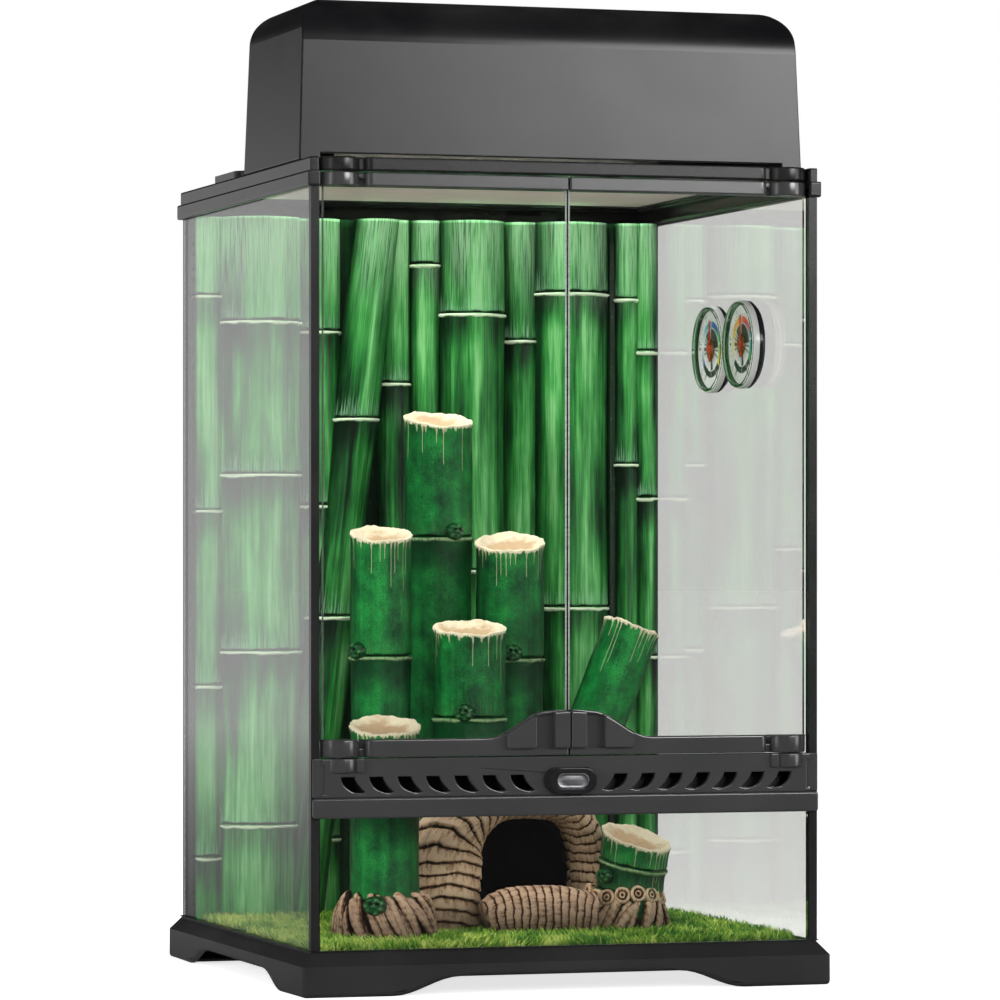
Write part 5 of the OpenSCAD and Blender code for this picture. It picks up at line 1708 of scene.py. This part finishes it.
DISH_DEPTH = 0.98
knob_low, knob_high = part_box("lock_knob")
knob_middle = [(knob_low[k] + knob_high[k]) / 2 / MM for k in (0, 2)]
shape = Surface()
oval_plate(shape, knob_middle, 9.2, 3.9, 0.7, knob_low[1] / MM + DISH_DEPTH)
shape.piece("knob_plate", BADGE, body="lock", slot="steel")
print("plate in the knob at", np.round(knob_middle, 1), "mm")

# %% [markdown]
# ## Studio
#
# The tank stands on a plain pale floor against white. Soft lamps in front, on both sides and above light it.
# Black plastic shows little but what it reflects, so the world is white round the horizon and dark overhead for
# glossy rays: that gives the hood its grey face and its nearly black top edge.

# %% World and floor
# Strengths of the white that scattered light gets, of the dark half behind the camera, of the bright half
# behind the tank, and of the floor's own glow
AMBIENT = 0.36
ROOM = 0.028
VEIL = 0.72
FLOOR_GLOW = 0.75
FLOOR_PAINT = (0.82, 0.82, 0.82)
WHITE_LIGHT = (1.0, 1.0, 1.0, 1.0)


def seen_straight(tree, path):
    """1 for the camera's own rays, also after panes, as long as nothing has mirrored or scattered them."""
    bounces = total(tree, path.outputs["Glossy Depth"], path.outputs["Diffuse Depth"])
    straight = calc(tree, "LESS_THAN", bounces, 0.5)
    through = times(tree, path.outputs["Is Transmission Ray"], straight)
    return calc(tree, "MAXIMUM", path.outputs["Is Camera Ray"], through)


def make_world():
    """White for the camera; for mirrors it fades to black overhead and from the back to the front of the room."""
    world = bpy.data.worlds.new("studio")
    bpy.context.scene.world = world
    world.use_nodes = True
    tree = world.node_tree
    back = tree.nodes["Background"]
    path = node(tree, "LightPath")
    way = node(tree, "TexCoord").outputs["Generated"]
    overhead = remap(tree, axis_of(tree, way, 2), 0.05, 0.14, 1.0, 0.02)
    behind = remap(tree, axis_of(tree, way, 1), -0.15, 0.35, ROOM, VEIL)
    mirrored = times(tree, overhead, behind)
    seen = seen_straight(tree, path)
    soft = blend(tree, path.outputs["Is Glossy Ray"], (AMBIENT, AMBIENT, AMBIENT, 1.0), mirrored)
    wire(tree, blend(tree, seen, soft, WHITE_LIGHT), back.inputs["Color"])


def make_floor():
    """A wide pale floor; a glow that only the camera, mirrors and glass see lifts it to white.

    In front of the tank, mirrors see the unlit part of the studio instead of the floor.
    """
    mesh = bpy.data.meshes.new("floor")
    size = 30.0
    mesh.from_pydata([(-size, -size, 0), (size, -size, 0), (size, size, 0), (-size, size, 0)], [], [(0, 1, 2, 3)])
    made, tree, shader = finish("floor_paint", FLOOR_PAINT, 0.9)
    shader.inputs["Specular IOR Level"].default_value = 0.1
    path = node(tree, "LightPath")
    seen = seen_straight(tree, path)
    far = remap(tree, axis_of(tree, object_place(tree), 1), -0.4, 4.0, ROOM, VEIL, smooth=False)
    mirrored = times(tree, path.outputs["Is Glossy Ray"], calc(tree, "SUBTRACT", 1.0, seen))
    wire(tree, coats(tree, (*FLOOR_PAINT, 1.0), (mirrored, (0.01, 0.01, 0.01))), shader.inputs["Base Color"])
    wire(tree, WHITE_LIGHT, shader.inputs["Emission Color"])
    glow = total(tree, times(tree, seen, FLOOR_GLOW), times(tree, mirrored, far))
    wire(tree, glow, shader.inputs["Emission Strength"])
    mesh.materials.append(made)
    floor = bpy.data.objects.new("floor", mesh)
    bpy.context.scene.collection.objects.link(floor)


make_world()
make_floor()
print("world and floor made")

# %% [markdown]
# ### Lamps
#
# A lamp that shows in the glass would draw a bright square on a pane, so most are hidden from mirrors. Two
# boxes at the sides and one panel in front are seen there on purpose: they are the sheen on the black plastic.


# %% Lamps
def softbox(name, place, aim, width, height, watts, glossy=False):
    """Rectangular lamp at a place, turned to face a point; hidden from mirrors unless glossy."""
    light = bpy.data.lights.new(name, "AREA")
    light.shape = "RECTANGLE"
    light.size, light.size_y = width, height
    light.energy = watts
    lamp = bpy.data.objects.new(name, light)
    bpy.context.scene.collection.objects.link(lamp)
    lamp.location = place
    lamp.rotation_euler = (Vector(aim) - Vector(place)).to_track_quat("-Z", "Y").to_euler()
    lamp.visible_camera = False
    lamp.visible_glossy = glossy
    lamp.visible_transmission = glossy
    return lamp


panel = softbox("front_panel", (1.45, -2.60, 1.13), (0, 0, 0.45), 1.4, 0.75, 34, glossy=True)
panel.visible_diffuse = False
softbox("front_key", (-0.50, -2.45, 0.82), (0, 0, 0.27), 1.2, 0.8, 27)
softbox("front_fill", (1.95, -1.65, 0.60), (0, 0, 0.25), 1.0, 0.9, 9)
softbox("left_fill", (-1.8, -0.8, 0.50), (0, 0, 0.25), 0.8, 0.9, 24)
softbox("right_box", (1.75, -1.3, 0.40), (0, 0, 0.35), 0.7, 1.5, 9, glossy=True)
softbox("left_box", (-1.9, -1.1, 0.55), (0, 0, 0.30), 0.5, 1.3, 3, glossy=True)
rear_lamp = softbox("rear_top_light", (0.0, 0.07, 0.80), (0, 0.07, 0.2), 0.24, 0.10, 1.35)
rear_lamp.data.spread = math.radians(70)
